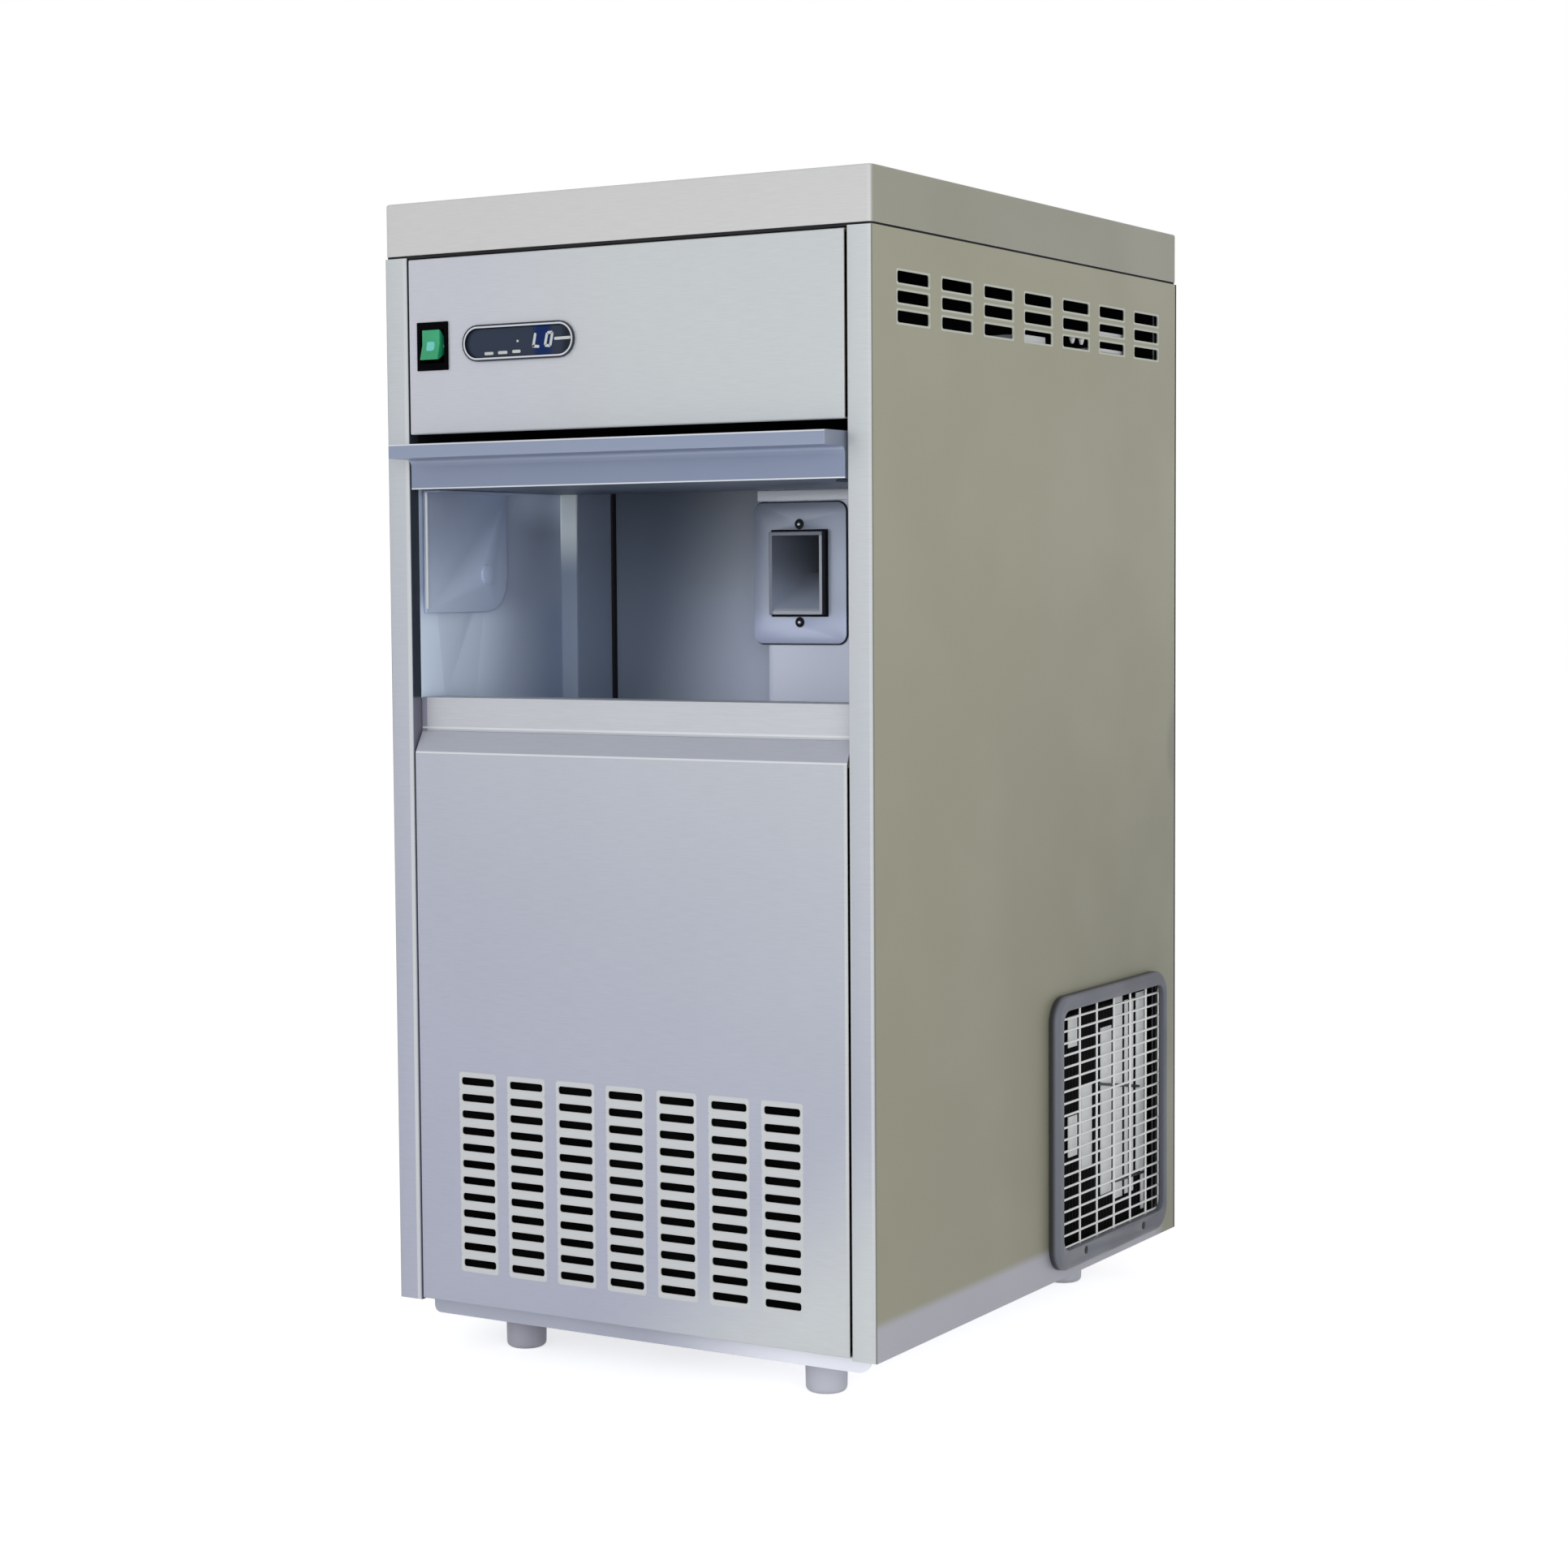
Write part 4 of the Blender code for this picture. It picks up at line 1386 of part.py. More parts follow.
def drains():
    rear = CABINET_DEPTH + REAR_REACH
    inner_face = CABINET_DEPTH - SHEET - FIT
    inner_end = inner_face - DRAIN_SPIGOT_INSIDE
    radius, bore = DRAIN_HOSE_RADIUS, DRAIN_BORE_RADIUS
    profile = [(bore, inner_end), (radius, inner_end), (radius, inner_face - DRAIN_FLANGE),
               (DRAIN_FLANGE_RADIUS, inner_face - DRAIN_FLANGE), (DRAIN_FLANGE_RADIUS, inner_face),
               (radius, inner_face), (radius, rear), (bore, rear)]
    place("drain_spigot", turned(profile, (DRAIN_X, 0, DRAIN_Z), "Y", SMALL_STEPS), "grey_plastic")
    start = (BIN_DRAIN_X, BIN_DRAIN_Y, FOAM_BOTTOM - FIT)
    end = (DRAIN_X, inner_end - FIT, DRAIN_Z)
    tube("drain_hose", between(start, end, DRAIN_SHARES), DRAIN_HOSE_RADIUS, "clear_hose")


def cable_gland():
    outer = CABINET_DEPTH + FIT
    flange = GLAND_RADIUS + GLAND_STEP
    profile = [(GLAND_BORE_RADIUS, CABINET_DEPTH - GLAND_REACH), (GLAND_RADIUS, CABINET_DEPTH - GLAND_REACH),
               (GLAND_RADIUS, outer), (flange, outer), (flange, outer + GLAND_STEP),
               (GLAND_RADIUS, outer + GLAND_REACH - FIT), (GLAND_BORE_RADIUS, outer + GLAND_REACH - FIT)]
    place("cable_gland", turned(profile, (GLAND_X, 0, GLAND_Z), "Y", SMALL_STEPS), "black_plastic")


def main():
    side_panels()
    top_cover()
    top_frame()
    back_panel()
    base_pan()
    feet()
    lower_front_panel()
    bin_sill()
    control_panel()
    bin_liner()
    bin_insulation()
    electrics_deck()
    bin_door()
    power_switch()
    display()
    ice_outlet()
    evaporator()
    auger()
    drive()
    compressor()
    condenser()
    fan()
    grille()
    filter_drier()
    refrigerant_pipes()
    water_tank()
    float_valve()
    drains()
    cable_gland()


clear_scene()
CABINET = bpy.data.objects.new("cabinet_corner", None)
CABINET.location = (-(CABINET_WIDTH + GRILLE_PROUD) / 2, (HANDLE_REACH - CABINET_DEPTH - REAR_REACH) / 2,
                    PAN_HEIGHT + FOOT_HEIGHT)
bpy.context.collection.objects.link(CABINET)
main()
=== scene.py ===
"""The looks of the flake ice maker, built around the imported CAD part.

Sizes are in metres. Pieces are placed from the lower left front corner of the cabinet body,
with x to the right, y to the back and z up, and moved to the part's own frame when they are made.
"""

import json
import math

import bmesh
import bpy
from mathutils import Matrix, Vector


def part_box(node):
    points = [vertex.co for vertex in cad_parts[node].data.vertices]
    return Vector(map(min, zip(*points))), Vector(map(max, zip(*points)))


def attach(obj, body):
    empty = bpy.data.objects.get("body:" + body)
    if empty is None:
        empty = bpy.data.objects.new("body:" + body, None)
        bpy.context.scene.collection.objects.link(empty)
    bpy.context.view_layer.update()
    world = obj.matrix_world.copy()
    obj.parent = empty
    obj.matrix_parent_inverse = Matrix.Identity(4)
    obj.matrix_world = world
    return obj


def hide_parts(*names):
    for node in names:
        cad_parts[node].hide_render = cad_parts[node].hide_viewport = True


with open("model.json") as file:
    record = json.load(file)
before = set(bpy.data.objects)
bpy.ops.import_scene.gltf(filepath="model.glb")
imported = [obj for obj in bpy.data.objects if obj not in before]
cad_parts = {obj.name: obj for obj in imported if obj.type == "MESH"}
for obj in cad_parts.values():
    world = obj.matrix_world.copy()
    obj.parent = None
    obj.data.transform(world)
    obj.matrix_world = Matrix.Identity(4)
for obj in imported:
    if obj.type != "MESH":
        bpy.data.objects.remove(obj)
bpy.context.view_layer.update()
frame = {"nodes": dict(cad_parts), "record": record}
NODES = frame["nodes"]
BODY_OF = {node: body for body, nodes in frame["record"]["behaviour"]["bodies"].items() for node in nodes}
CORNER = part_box("side_panel_left")[0]

# The cabinet's outline and levels, and the gauge and fold of its sheet.
WIDTH, DEPTH = 0.38, 0.472
BODY_TOP, SKIRT_BOTTOM, SIDE_TOP = 0.7541, 0.7185, 0.717
SIDE_BACK = 0.4707
SHEET, FOLD = 0.001, 0.0012

# The front pillars' width and return, and the front panels between them: edges, lower edge and folded flange.
PILLAR, RECESS = 0.0185, 0.0095
PANEL_LEFT, PANEL_RIGHT, PANEL_LOW = 0.02, 0.36, 0.5976
FLANGE = 0.014

# The side vents: one slot, the steps between slots, and where the first one starts.
VENT_LENGTH, VENT_HEIGHT, VENT_PITCH, VENT_ROW = 0.0428, 0.0076, 0.0604, 0.01245
VENT_FIRST, VENT_TOP = 0.0327, 0.691
VENTS_ALONG, VENT_ROWS = 7, 3

# The steps and counts of the lower front slots. The louvres at the back have the same rows.
SLOT_PITCH, SLOT_ROW = 0.0403, 0.01145
SLOTS_ALONG, SLOT_ROWS = 7, 12

# The grille on the right side: its frame and window, as depth and height, and how far it stands out.
GRILLE_LOW, GRILLE_HIGH, GRILLE_OUT = (0.25, 0.0075), (0.4414, 0.203), 0.008
WINDOW_LOW, WINDOW_HIGH, WINDOW_CORNER = (0.259, 0.022), (0.4324, 0.193), 0.009


# Shader nodes

class Mixer:
    """Lays out shader nodes. A value is a number, a colour or the output of another node."""

    def __init__(self, tree):
        self.tree = tree

    def plug(self, socket, value):
        if isinstance(value, bpy.types.NodeSocket):
            self.tree.links.new(value, socket)
        else:
            socket.default_value = (*value, 1) if socket.type == "RGBA" else value

    def add(self, kind, *values, **settings):
        """A node with its settings, and values in its first sockets."""
        node = self.tree.nodes.new("ShaderNode" + kind)
        for name, value in settings.items():
            setattr(node, name, value)
        for socket, value in zip(node.inputs, values):
            self.plug(socket, value)
        return node

    def fill(self, node, **values):
        """Puts values in the named sockets of a node."""
        for label, value in values.items():
            self.plug(node.inputs[label.replace("_", " ")], value)
        return node

    def group(self, tree, **values):
        return self.fill(self.add("Group", node_tree=tree), **values).outputs

    def maths(self, operation, *values):
        return self.add("Math", *values, operation=operation).outputs[0]

    def plus(self, first, second):
        return self.maths("ADD", first, second)

    def less(self, first, second):
        return self.maths("SUBTRACT", first, second)

    def times(self, first, second):
        return self.maths("MULTIPLY", first, second)

    def most(self, first, second):
        return self.maths("MAXIMUM", first, second)

    def size(self, value):
        return self.maths("ABSOLUTE", value)

    def length(self, first, second):
        """The length of the slope over two sides at right angles."""
        return self.maths("SQRT", self.plus(self.times(first, first), self.times(second, second)))

    def scaled(self, colour, factor):
        return self.fill(self.add("VectorMath", colour, operation="SCALE"), Scale=factor).outputs[0]

    def ramp(self, value, low, high, new_low=0.0, new_high=1.0):
        """Goes smoothly from one level to another while a value goes from low to high."""
        return self.add("MapRange", value, low, high, new_low, new_high, interpolation_type="SMOOTHSTEP").outputs[0]

    def band(self, value, low, high, soft):
        """A mask that is 1 between two levels and fades out beside them."""
        return self.times(self.ramp(value, low - soft, low), self.ramp(value, high + soft, high))

    def mix(self, share, first, second):
        node = self.add("Mix", share, data_type="RGBA")
        for socket, colour in zip(node.inputs[6:8], (first, second)):
            self.plug(socket, colour)
        return node.outputs[2]

    def fade(self, value, low, high, first, second):
        """Goes from one colour to another while a value goes from low to high."""
        return self.mix(self.ramp(value, low, high), first, second)

    def split(self, vector):
        return self.add("SeparateXYZ", vector).outputs

    def point(self):
        """The point on the piece, in cabinet places."""
        places = self.add("TexCoord").outputs["Object"]
        return self.add("VectorMath", places, CORNER, operation="SUBTRACT").outputs[0]

    def place(self):
        return self.split(self.point())

    def facing(self):
        """The three parts of the normal."""
        return self.split(self.add("TexCoord").outputs["Normal"])

    def noise(self, point, scale, detail):
        return self.fill(self.add("TexNoise"), Vector=point, Scale=scale, Detail=detail).outputs["Fac"]

    def backdrop(self):
        """A mask that is 1 for rays that show the background: straight to the camera, in gloss or through glass."""
        path = self.add("LightPath").outputs
        return self.most(self.most(path["Is Camera Ray"], path["Is Glossy Ray"]), path["Is Transmission Ray"])


def deselect():
    bpy.ops.object.select_all(action="DESELECT")


def add_to_scene(item):
    bpy.context.scene.collection.objects.link(item)


# Camera, light and floor

LENS, SENSOR = 69.55, 36.0
AZIMUTH, ELEVATION, ROLL = (math.radians(angle) for angle in (30.708, 3.791, -0.3776))
CAMERA_PLACE = (1.1039, -1.8876, 0.533)
AMBIENT, WHITE = (0.45, 0.455, 0.465), (1, 1, 1)
FLOOR_SIZE, FLOOR_TONE, FLOOR_GLOW = 30, (0.8, 0.8, 0.8), 0.66


def set_camera():
    camera = bpy.data.objects.new("camera", bpy.data.cameras.new("camera"))
    add_to_scene(camera)
    camera.data.lens, camera.data.sensor_width = LENS, SENSOR
    camera.data.clip_start, camera.data.clip_end = 0.05, 60
    level = Matrix.Rotation(AZIMUTH, 4, "Z") @ Matrix.Rotation(math.pi / 2 - ELEVATION, 4, "X")
    camera.matrix_world = Matrix.Translation(CAMERA_PLACE) @ level @ Matrix.Rotation(ROLL, 4, "Z")
    bpy.context.scene.camera = camera


def lamp(name, place, target, size, power, colour):
    light = bpy.data.lights.new(name, "AREA")
    light.shape, light.size, light.size_y = "RECTANGLE", size[0], size[1]
    light.energy, light.color = power, colour
    item = bpy.data.objects.new(name, light)
    item.location = place
    item.rotation_euler = (Vector(target) - Vector(place)).to_track_quat("-Z", "Y").to_euler()
    add_to_scene(item)
    item.visible_glossy = False


def set_world():
    """Soft light all round, and white where the background shows."""
    world = bpy.data.worlds.new("studio")
    bpy.context.scene.world = world
    world.use_nodes = True
    world.node_tree.nodes.clear()
    mixer = Mixer(world.node_tree)
    ambient, white = (mixer.add("Background", colour).outputs[0] for colour in (AMBIENT, WHITE))
    seen = mixer.add("MixShader", mixer.backdrop(), ambient, white)
    mixer.fill(mixer.add("OutputWorld"), Surface=seen.outputs[0])


def set_floor():
    deselect()
    bpy.ops.mesh.primitive_plane_add(size=FLOOR_SIZE, location=(0, 0, 0))
    floor = bpy.context.object
    floor.name = "studio_floor"
    material = bpy.data.materials.new("studio_floor")
    material.use_nodes = True
    mixer = Mixer(material.node_tree)
    mixer.fill(mixer.tree.nodes["Principled BSDF"], Base_Color=FLOOR_TONE, Roughness=0.9, Specular_IOR_Level=0,
               Emission_Color=WHITE, Emission_Strength=mixer.times(mixer.backdrop(), FLOOR_GLOW))
    floor.data.materials.append(material)


# Modelling helpers

def alone(piece):
    deselect()
    piece.select_set(True)
    bpy.context.view_layer.objects.active = piece


def settle(piece, name):
    """Names a new piece and puts its place into its mesh."""
    piece.name = piece.data.name = name
    alone(piece)
    bpy.ops.object.transform_apply(location=True, rotation=True, scale=True)
    return piece


def block(name, low, high):
    deselect()
    low, high = Vector(low) + CORNER, Vector(high) + CORNER
    bpy.ops.mesh.primitive_cube_add(size=1, location=(low + high) / 2, scale=high - low)
    return settle(bpy.context.object, name)


def rod(name, radius, start, end, steps=24, far_radius=None):
    deselect()
    start, end = Vector(start) + CORNER, Vector(end) + CORNER
    way = end - start
    bpy.ops.mesh.primitive_cone_add(vertices=steps, radius1=radius, radius2=far_radius or radius, depth=way.length,
                                    location=(start + end) / 2, rotation=way.to_track_quat("Z", "Y").to_euler())
    return settle(bpy.context.object, name)


def near(value, level, slack=0.00005):
    return abs(value - level) < slack


def at(**levels):
    """A test for faces, edges or points whose middle is on the given levels of x, y or z."""
    return lambda middle, span: all(near(getattr(middle, axis), level) for axis, level in levels.items())


def choose(piece, kind, test):
    """Opens a piece in edit mode with only some faces, edges or points selected, by their middle and their span."""
    alone(piece)
    bpy.ops.object.mode_set(mode="EDIT")
    bpy.ops.mesh.select_mode(type=kind)
    bpy.ops.mesh.select_all(action="DESELECT")
    body = bmesh.from_edit_mesh(piece.data)
    for item in {"FACE": body.faces, "EDGE": body.edges, "VERT": body.verts}[kind]:
        corners = [item] if kind == "VERT" else item.verts
        middle = sum((corner.co for corner in corners), Vector()) / len(corners) - CORNER
        span = Vector([max(v.co[i] for v in corners) - min(v.co[i] for v in corners) for i in range(3)])
        if test(middle, span):
            item.select_set(True)
    bmesh.update_edit_mesh(piece.data)


def leave():
    bpy.ops.object.mode_set(mode="OBJECT")


def drop_faces(piece, test):
    choose(piece, "FACE", test)
    bpy.ops.mesh.delete(type="FACE")
    leave()


def bend(piece, test, radius, segments=3):
    """Rounds the chosen edges, as a bend in sheet or a moulded radius."""
    choose(piece, "EDGE", test)
    bpy.ops.mesh.bevel(offset=radius, segments=segments, affect="EDGES", clamp_overlap=True)
    leave()
    return piece


def pull(piece, kind, test, way):
    """Draws new faces out of the chosen edges or faces."""
    choose(piece, kind, test)
    bpy.ops.mesh.extrude_region_move(TRANSFORM_OT_translate={"value": way})
    leave()


def shift(piece, kind, test, way):
    choose(piece, kind, test)
    bpy.ops.transform.translate(value=way)
    leave()


def apply(piece, kind, **settings):
    alone(piece)
    modifier = piece.modifiers.new(kind, kind)
    for name, value in settings.items():
        setattr(modifier, name, value)
    bpy.ops.object.modifier_apply(modifier=modifier.name)
    return piece


def thicken(piece, sheet=SHEET):
    return apply(piece, "SOLIDIFY", thickness=sheet, offset=-1, use_even_offset=True)


def smooth(piece, angle=35):
    alone(piece)
    bpy.ops.object.shade_smooth_by_angle(angle=math.radians(angle))
    return piece


def soften(piece, width, segments=2, angle=40):
    apply(piece, "BEVEL", width=width, segments=segments, limit_method="ANGLE",
          angle_limit=math.radians(angle), harden_normals=False)
    return smooth(piece)


def deburr(sheet):
    """Breaks the sharp edges of a cut and folded sheet."""
    return soften(sheet, 0.0002, 1, 60)


def combine(*pieces):
    alone(pieces[0])
    for piece in pieces[1:]:
        piece.select_set(True)
    bpy.ops.object.join()
    return pieces[0]


def repeat(piece, ways):
    """Copies of a piece, each with its own mesh, joined to the first."""
    copies = []
    for way in ways[1:]:
        copy = piece.copy()
        copy.data = piece.data.copy()
        copy.data.transform(Matrix.Translation(Vector(way)))
        add_to_scene(copy)
        copies.append(copy)
    piece.data.transform(Matrix.Translation(Vector(ways[0])))
    return combine(piece, *copies)


def row(piece, step, count):
    return repeat(piece, [Vector(step) * number for number in range(count)])


def grid(columns, rows, column_way, row_way):
    return [Vector(column_way) * column + Vector(row_way) * row for column in range(columns) for row in range(rows)]


def cut(piece, *cutters, operation="DIFFERENCE"):
    for cutter in cutters:
        apply(piece, "BOOLEAN", operation=operation, solver="EXACT", object=cutter)
        bpy.data.objects.remove(cutter, do_unlink=True)
    return piece


def rounded_block(low, high, axis, radius, segments=4, name="cutter"):
    """A block with round corners round one axis, as a plate or to cut a slot or window."""
    length = high[axis] - low[axis]
    return bend(block(name, low, high), lambda middle, span: near(span[axis], length), radius, segments)


def copy_of(node, name=None):
    """A merged copy of a CAD piece, whose loose triangles become whole faces again."""
    name = name or f"{node}_form"
    piece = bpy.data.objects.new(name, NODES[node].data.copy())
    add_to_scene(piece)
    piece.data.name = name
    alone(piece)
    bpy.ops.object.mode_set(mode="EDIT")
    bpy.ops.mesh.select_all(action="SELECT")
    bpy.ops.mesh.remove_doubles(threshold=0.00001)
    bpy.ops.mesh.dissolve_limited(angle_limit=math.radians(1))
    leave()
    piece.data.materials.clear()
    return piece


def finish(piece, slot, material, *nodes, body="cabinet"):
    """Gives a piece its material, hangs it on the body it rides on, and hides the CAD pieces it stands for."""
    piece.data.materials.clear()
    piece.data.materials.append(material)
    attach(piece, BODY_OF[nodes[0]] if nodes else body)
    if nodes:
        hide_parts(*nodes)


def dress(node, slot, material, width, segments=2, angle=40):
    """A CAD piece with its edges rounded, in its own place."""
    finish(soften(copy_of(node), width, segments, angle), slot, material, node)


# Shared shader groups

def new_group(name, inputs, outputs):
    """A node group with named inputs and outputs: its mixer, and the sockets at its two ends."""
    tree = bpy.data.node_groups.new(name, "ShaderNodeTree")
    for label, (kind, value) in inputs.items():
        socket = tree.interface.new_socket(label, in_out="INPUT", socket_type="NodeSocket" + kind)
        socket.default_value = value
    for label, kind in outputs.items():
        tree.interface.new_socket(label, in_out="OUTPUT", socket_type="NodeSocket" + kind)
    return Mixer(tree), tree.nodes.new("NodeGroupInput").outputs, tree.nodes.new("NodeGroupOutput").inputs


def make_grain_group():
    """Fine lines along one direction, as brushing or rolling leaves them, and soft clouds."""
    grain, inlet, outlet = new_group("brushed_grain", {"Stretch": ("Vector", (1, 60, 60)), "Scale": ("Float", 30.0)},
                                     {"Height": "Float", "Cloud": "Float"})
    point = grain.point()
    stretched = grain.add("VectorMath", point, inlet["Stretch"], operation="MULTIPLY").outputs[0]
    grain.plug(outlet["Height"], grain.noise(stretched, inlet["Scale"], 4))
    grain.plug(outlet["Cloud"], grain.noise(point, 9, 2))
    return grain.tree


def make_speckle_group():
    """A fine pitted surface and cloudy wear, for castings and moulded pieces."""
    speckle, inlet, outlet = new_group("cast_speckle", {"Scale": ("Float", 400.0), "Cloud Scale": ("Float", 18.0)},
                                       {"Height": "Float", "Cloud": "Float"})
    point = speckle.point()
    speckle.plug(outlet["Height"], speckle.noise(point, inlet["Scale"], 3))
    speckle.plug(outlet["Cloud"], speckle.noise(point, inlet["Cloud Scale"], 4))
    return speckle.tree


def make_painted_light_group():
    """The cabinet steel's painted light and shade by place: the front, the sides, the folds between them and the
    hidden faces.
    """
    labels = ("Front High", "Front Low", "Side", "Side Foot")
    tones, inlet, outlet = new_group("steel_painted_light", {label: ("Color", (1, 1, 1, 1)) for label in labels},
                                     {"Color": "Color"})
    ramp, band, mix, fade, times, less = tones.ramp, tones.band, tones.mix, tones.fade, tones.times, tones.less
    x, y, z = tones.place()
    nx, ny, _ = tones.facing()

    # Painted light on the front: paler to the top right, cooler at the control panel's left and pale again at the
    # lower right.
    rise = tones.plus(z, times(x, 0.45))
    front = fade(rise, 0.12, 0.86, inlet["Front Low"], inlet["Front High"])
    cool = times(ramp(x, 0.2, 0.05, 0.0, 0.6), band(z, 0.6, 0.7165, 0.002))
    cool = times(cool, ramp(x, 0.018, 0.019))
    front = mix(cool, front, (0.53, 0.525, 0.6))
    front = fade(less(x, times(z, 1.3)), 0.14, 0.32, front, (0.585, 0.61, 0.62))

    # Painted shade on the sides: deeper towards the lower rear, with a paler foot and a painted dark patch at the
    # rear edge.
    low = ramp(z, 0.6, 0.15)
    depth = times(ramp(y, 0.05, 0.47), low)
    shade = tones.maths("MULTIPLY_ADD", depth, -0.18, tones.maths("MULTIPLY_ADD", low, -0.13, 1.01))
    foot = times(ramp(z, 0.028, 0.02), ramp(y, 0.455, 0.43))
    side = mix(foot, tones.scaled(inlet["Side"], shade), inlet["Side Foot"])
    patch_y = tones.maths("DIVIDE", less(y, 0.475), 0.022)
    patch_z = tones.maths("DIVIDE", less(z, 0.37), 0.035)
    patch = tones.plus(times(patch_y, patch_y), times(patch_z, patch_z))
    side = mix(ramp(patch, 1.2, 0.2, 0.0, 0.6), side, (0.2, 0.195, 0.17))

    # Outward is high on the sides, low on the front and negative on faces that look into the cabinet.
    # The sides' tone is painted shade, and the fold between front and side gets a painted dark line of shade.
    outward = times(less(x, WIDTH / 2), nx)
    tone = fade(outward, 0.1, 0.17, front, side)
    corner = times(band(outward, 0.08, 0.16, 0.015), ramp(z, 0.718, 0.717))
    tone = mix(corner, tone, (0.19, 0.19, 0.17))
    # Painted shade on the faces that look into the cabinet: dark, darker above the sill's level and near black
    # further in.
    within = fade(z, 0.4175, 0.4195, (0.16, 0.16, 0.2), (0.03, 0.038, 0.052))
    within = fade(y, 0.015, 0.018, within, (0.006, 0.006, 0.007))
    tone = fade(outward, -0.1, -0.15, tone, within)

    # Painted shade makes the edges of the holes in the sides, the backs of the sheets and the rear flanges near
    # black.
    aside = tones.size(less(x, WIDTH / 2))
    flank = times(ramp(tones.size(nx), 0.6, 0.4), ramp(aside, 0.1885, 0.1888))
    flank = times(times(flank, band(y, 0.01, 0.46, 0.003)), band(z, 0.02, 0.7, 0.004))
    behind = times(ramp(ny, 0.5, 0.8), ramp(y, 0.42, 0.4))
    rear_flange = times(ramp(aside, 0.1886, 0.1884), ramp(y, 0.465, 0.466))
    dark = tones.most(tones.most(behind, flank), rear_flange)
    tones.plug(outlet["Color"], mix(dark, tone, (0.008, 0.008, 0.009)))
    return tones.tree


def make_rim_highlight_group():
    """A painted highlight round each slot of a regular field, as light catching its edge."""
    parts, ways = ("", "First ", "Pitch ", "Last ", "Half "), ("Along", "Up")
    labels = [part + way for way in ways for part in parts] + ["Rim"]
    rim_highlights, inlet, outlet = new_group("slot_rim_highlights", {label: ("Float", 0.001) for label in labels}, {"Mask": "Float"})
    gaps = []
    for way in ways:
        value, first, pitch, last, half = (inlet[part + way] for part in parts)
        step = rim_highlights.maths("ROUND", rim_highlights.maths("DIVIDE", rim_highlights.less(value, first), pitch))
        step = rim_highlights.maths("MINIMUM", rim_highlights.most(step, 0.0), last)
        centre = rim_highlights.maths("MULTIPLY_ADD", step, pitch, first)
        gaps.append(rim_highlights.most(rim_highlights.less(rim_highlights.size(rim_highlights.less(value, centre)), half), 0.0))
    inner = rim_highlights.times(inlet["Rim"], 0.6)
    rim_highlights.plug(outlet["Mask"], rim_highlights.ramp(rim_highlights.length(*gaps), inlet["Rim"], inner))
    return rim_highlights.tree


GRAIN = make_grain_group()
PAINTED_LIGHT = make_painted_light_group()
RIM_HIGHLIGHTS = make_rim_highlight_group()
SPECKLE = make_speckle_group()

# Stretches of the grain: across the front, finer across it, upright in the bin, and upright on fins.
ACROSS, FINE_ACROSS, UPRIGHT, ON_FINS = (2, 90, 90), (2, 120, 120), (70, 70, 2), (60, 60, 3)


class Paint(Mixer):
    """A material in the making. Its surface is a grain, given as a stretch, or a speckle, given as a scale."""

    def __init__(self, name, metallic, surface, specular=0.5, coat=0.0):
        self.material = bpy.data.materials.new(name)
        self.material.use_nodes = True
        super().__init__(self.material.node_tree)
        self.shader = self.tree.nodes["Principled BSDF"]
        self.fill(self.shader, Metallic=metallic, Specular_IOR_Level=specular, Coat_Weight=coat)
        grained = isinstance(surface, tuple)
        source = self.group(GRAIN, Stretch=surface) if grained else self.group(SPECKLE, Scale=surface)
        self.height, self.cloud = source["Height"], source["Cloud"]

    def clouded(self, first, second):
        """Two near tones in soft clouds."""
        return self.fade(self.cloud, 0.35, 0.65, first, second)

    def done(self, colour, rough, bump, depth=0.0002):
        """Gives the shader its colour, its cloudy roughness from low to high and its fine surface."""
        relief = self.fill(self.add("Bump"), Strength=bump, Distance=depth, Height=self.height)
        roughness = self.ramp(self.cloud, 0.3, 0.7, *rough)
        self.fill(self.shader, Base_Color=colour, Roughness=roughness, Normal=relief.outputs[0])
        return self.material


# The sides' painted shade with their paler foot, and the front's painted light from high to low.
SIDE_TONES = ((0.352, 0.342, 0.254), (0.43, 0.425, 0.48))
FRONT_TONES = ((0.555, 0.58, 0.585), (0.415, 0.43, 0.52))
X, Y, Z = 0, 1, 2


def steel(name, front=FRONT_TONES, side=SIDE_TONES, rim_highlights=None, bands=()):
    """Satin sheet steel with fine grain and the cabinet's painted light and shade, painted highlights round its
    slots, and bands of painted highlight and shade along its edges.
    """
    paint = Paint(name, 0.25, ACROSS)
    tone = paint.group(PAINTED_LIGHT, Front_High=front[0], Front_Low=front[1], Side=side[0], Side_Foot=side[1])["Color"]
    places = paint.place()
    for axis, low, high, soft, colour in bands:
        tone = paint.mix(paint.band(places[axis], low, high, soft), tone, colour)
    if rim_highlights:
        axis, colour, field = rim_highlights
        tone = paint.mix(paint.group(RIM_HIGHLIGHTS, Along=places[axis], Up=places[Z], **field)["Mask"], tone, colour)
    fleck = paint.ramp(paint.height, 0.35, 0.65, 0.97, 1.03)
    return paint.done(paint.scaled(tone, fleck), (0.42, 0.52), 0.06)


def worked(name, first, second, metallic, rough, surface, bump, **extra):
    """A plain finish with two near tones, cloudy roughness and a fine surface."""
    paint = Paint(name, metallic, surface, **extra)
    return paint.done(paint.clouded(first, second), rough, bump)


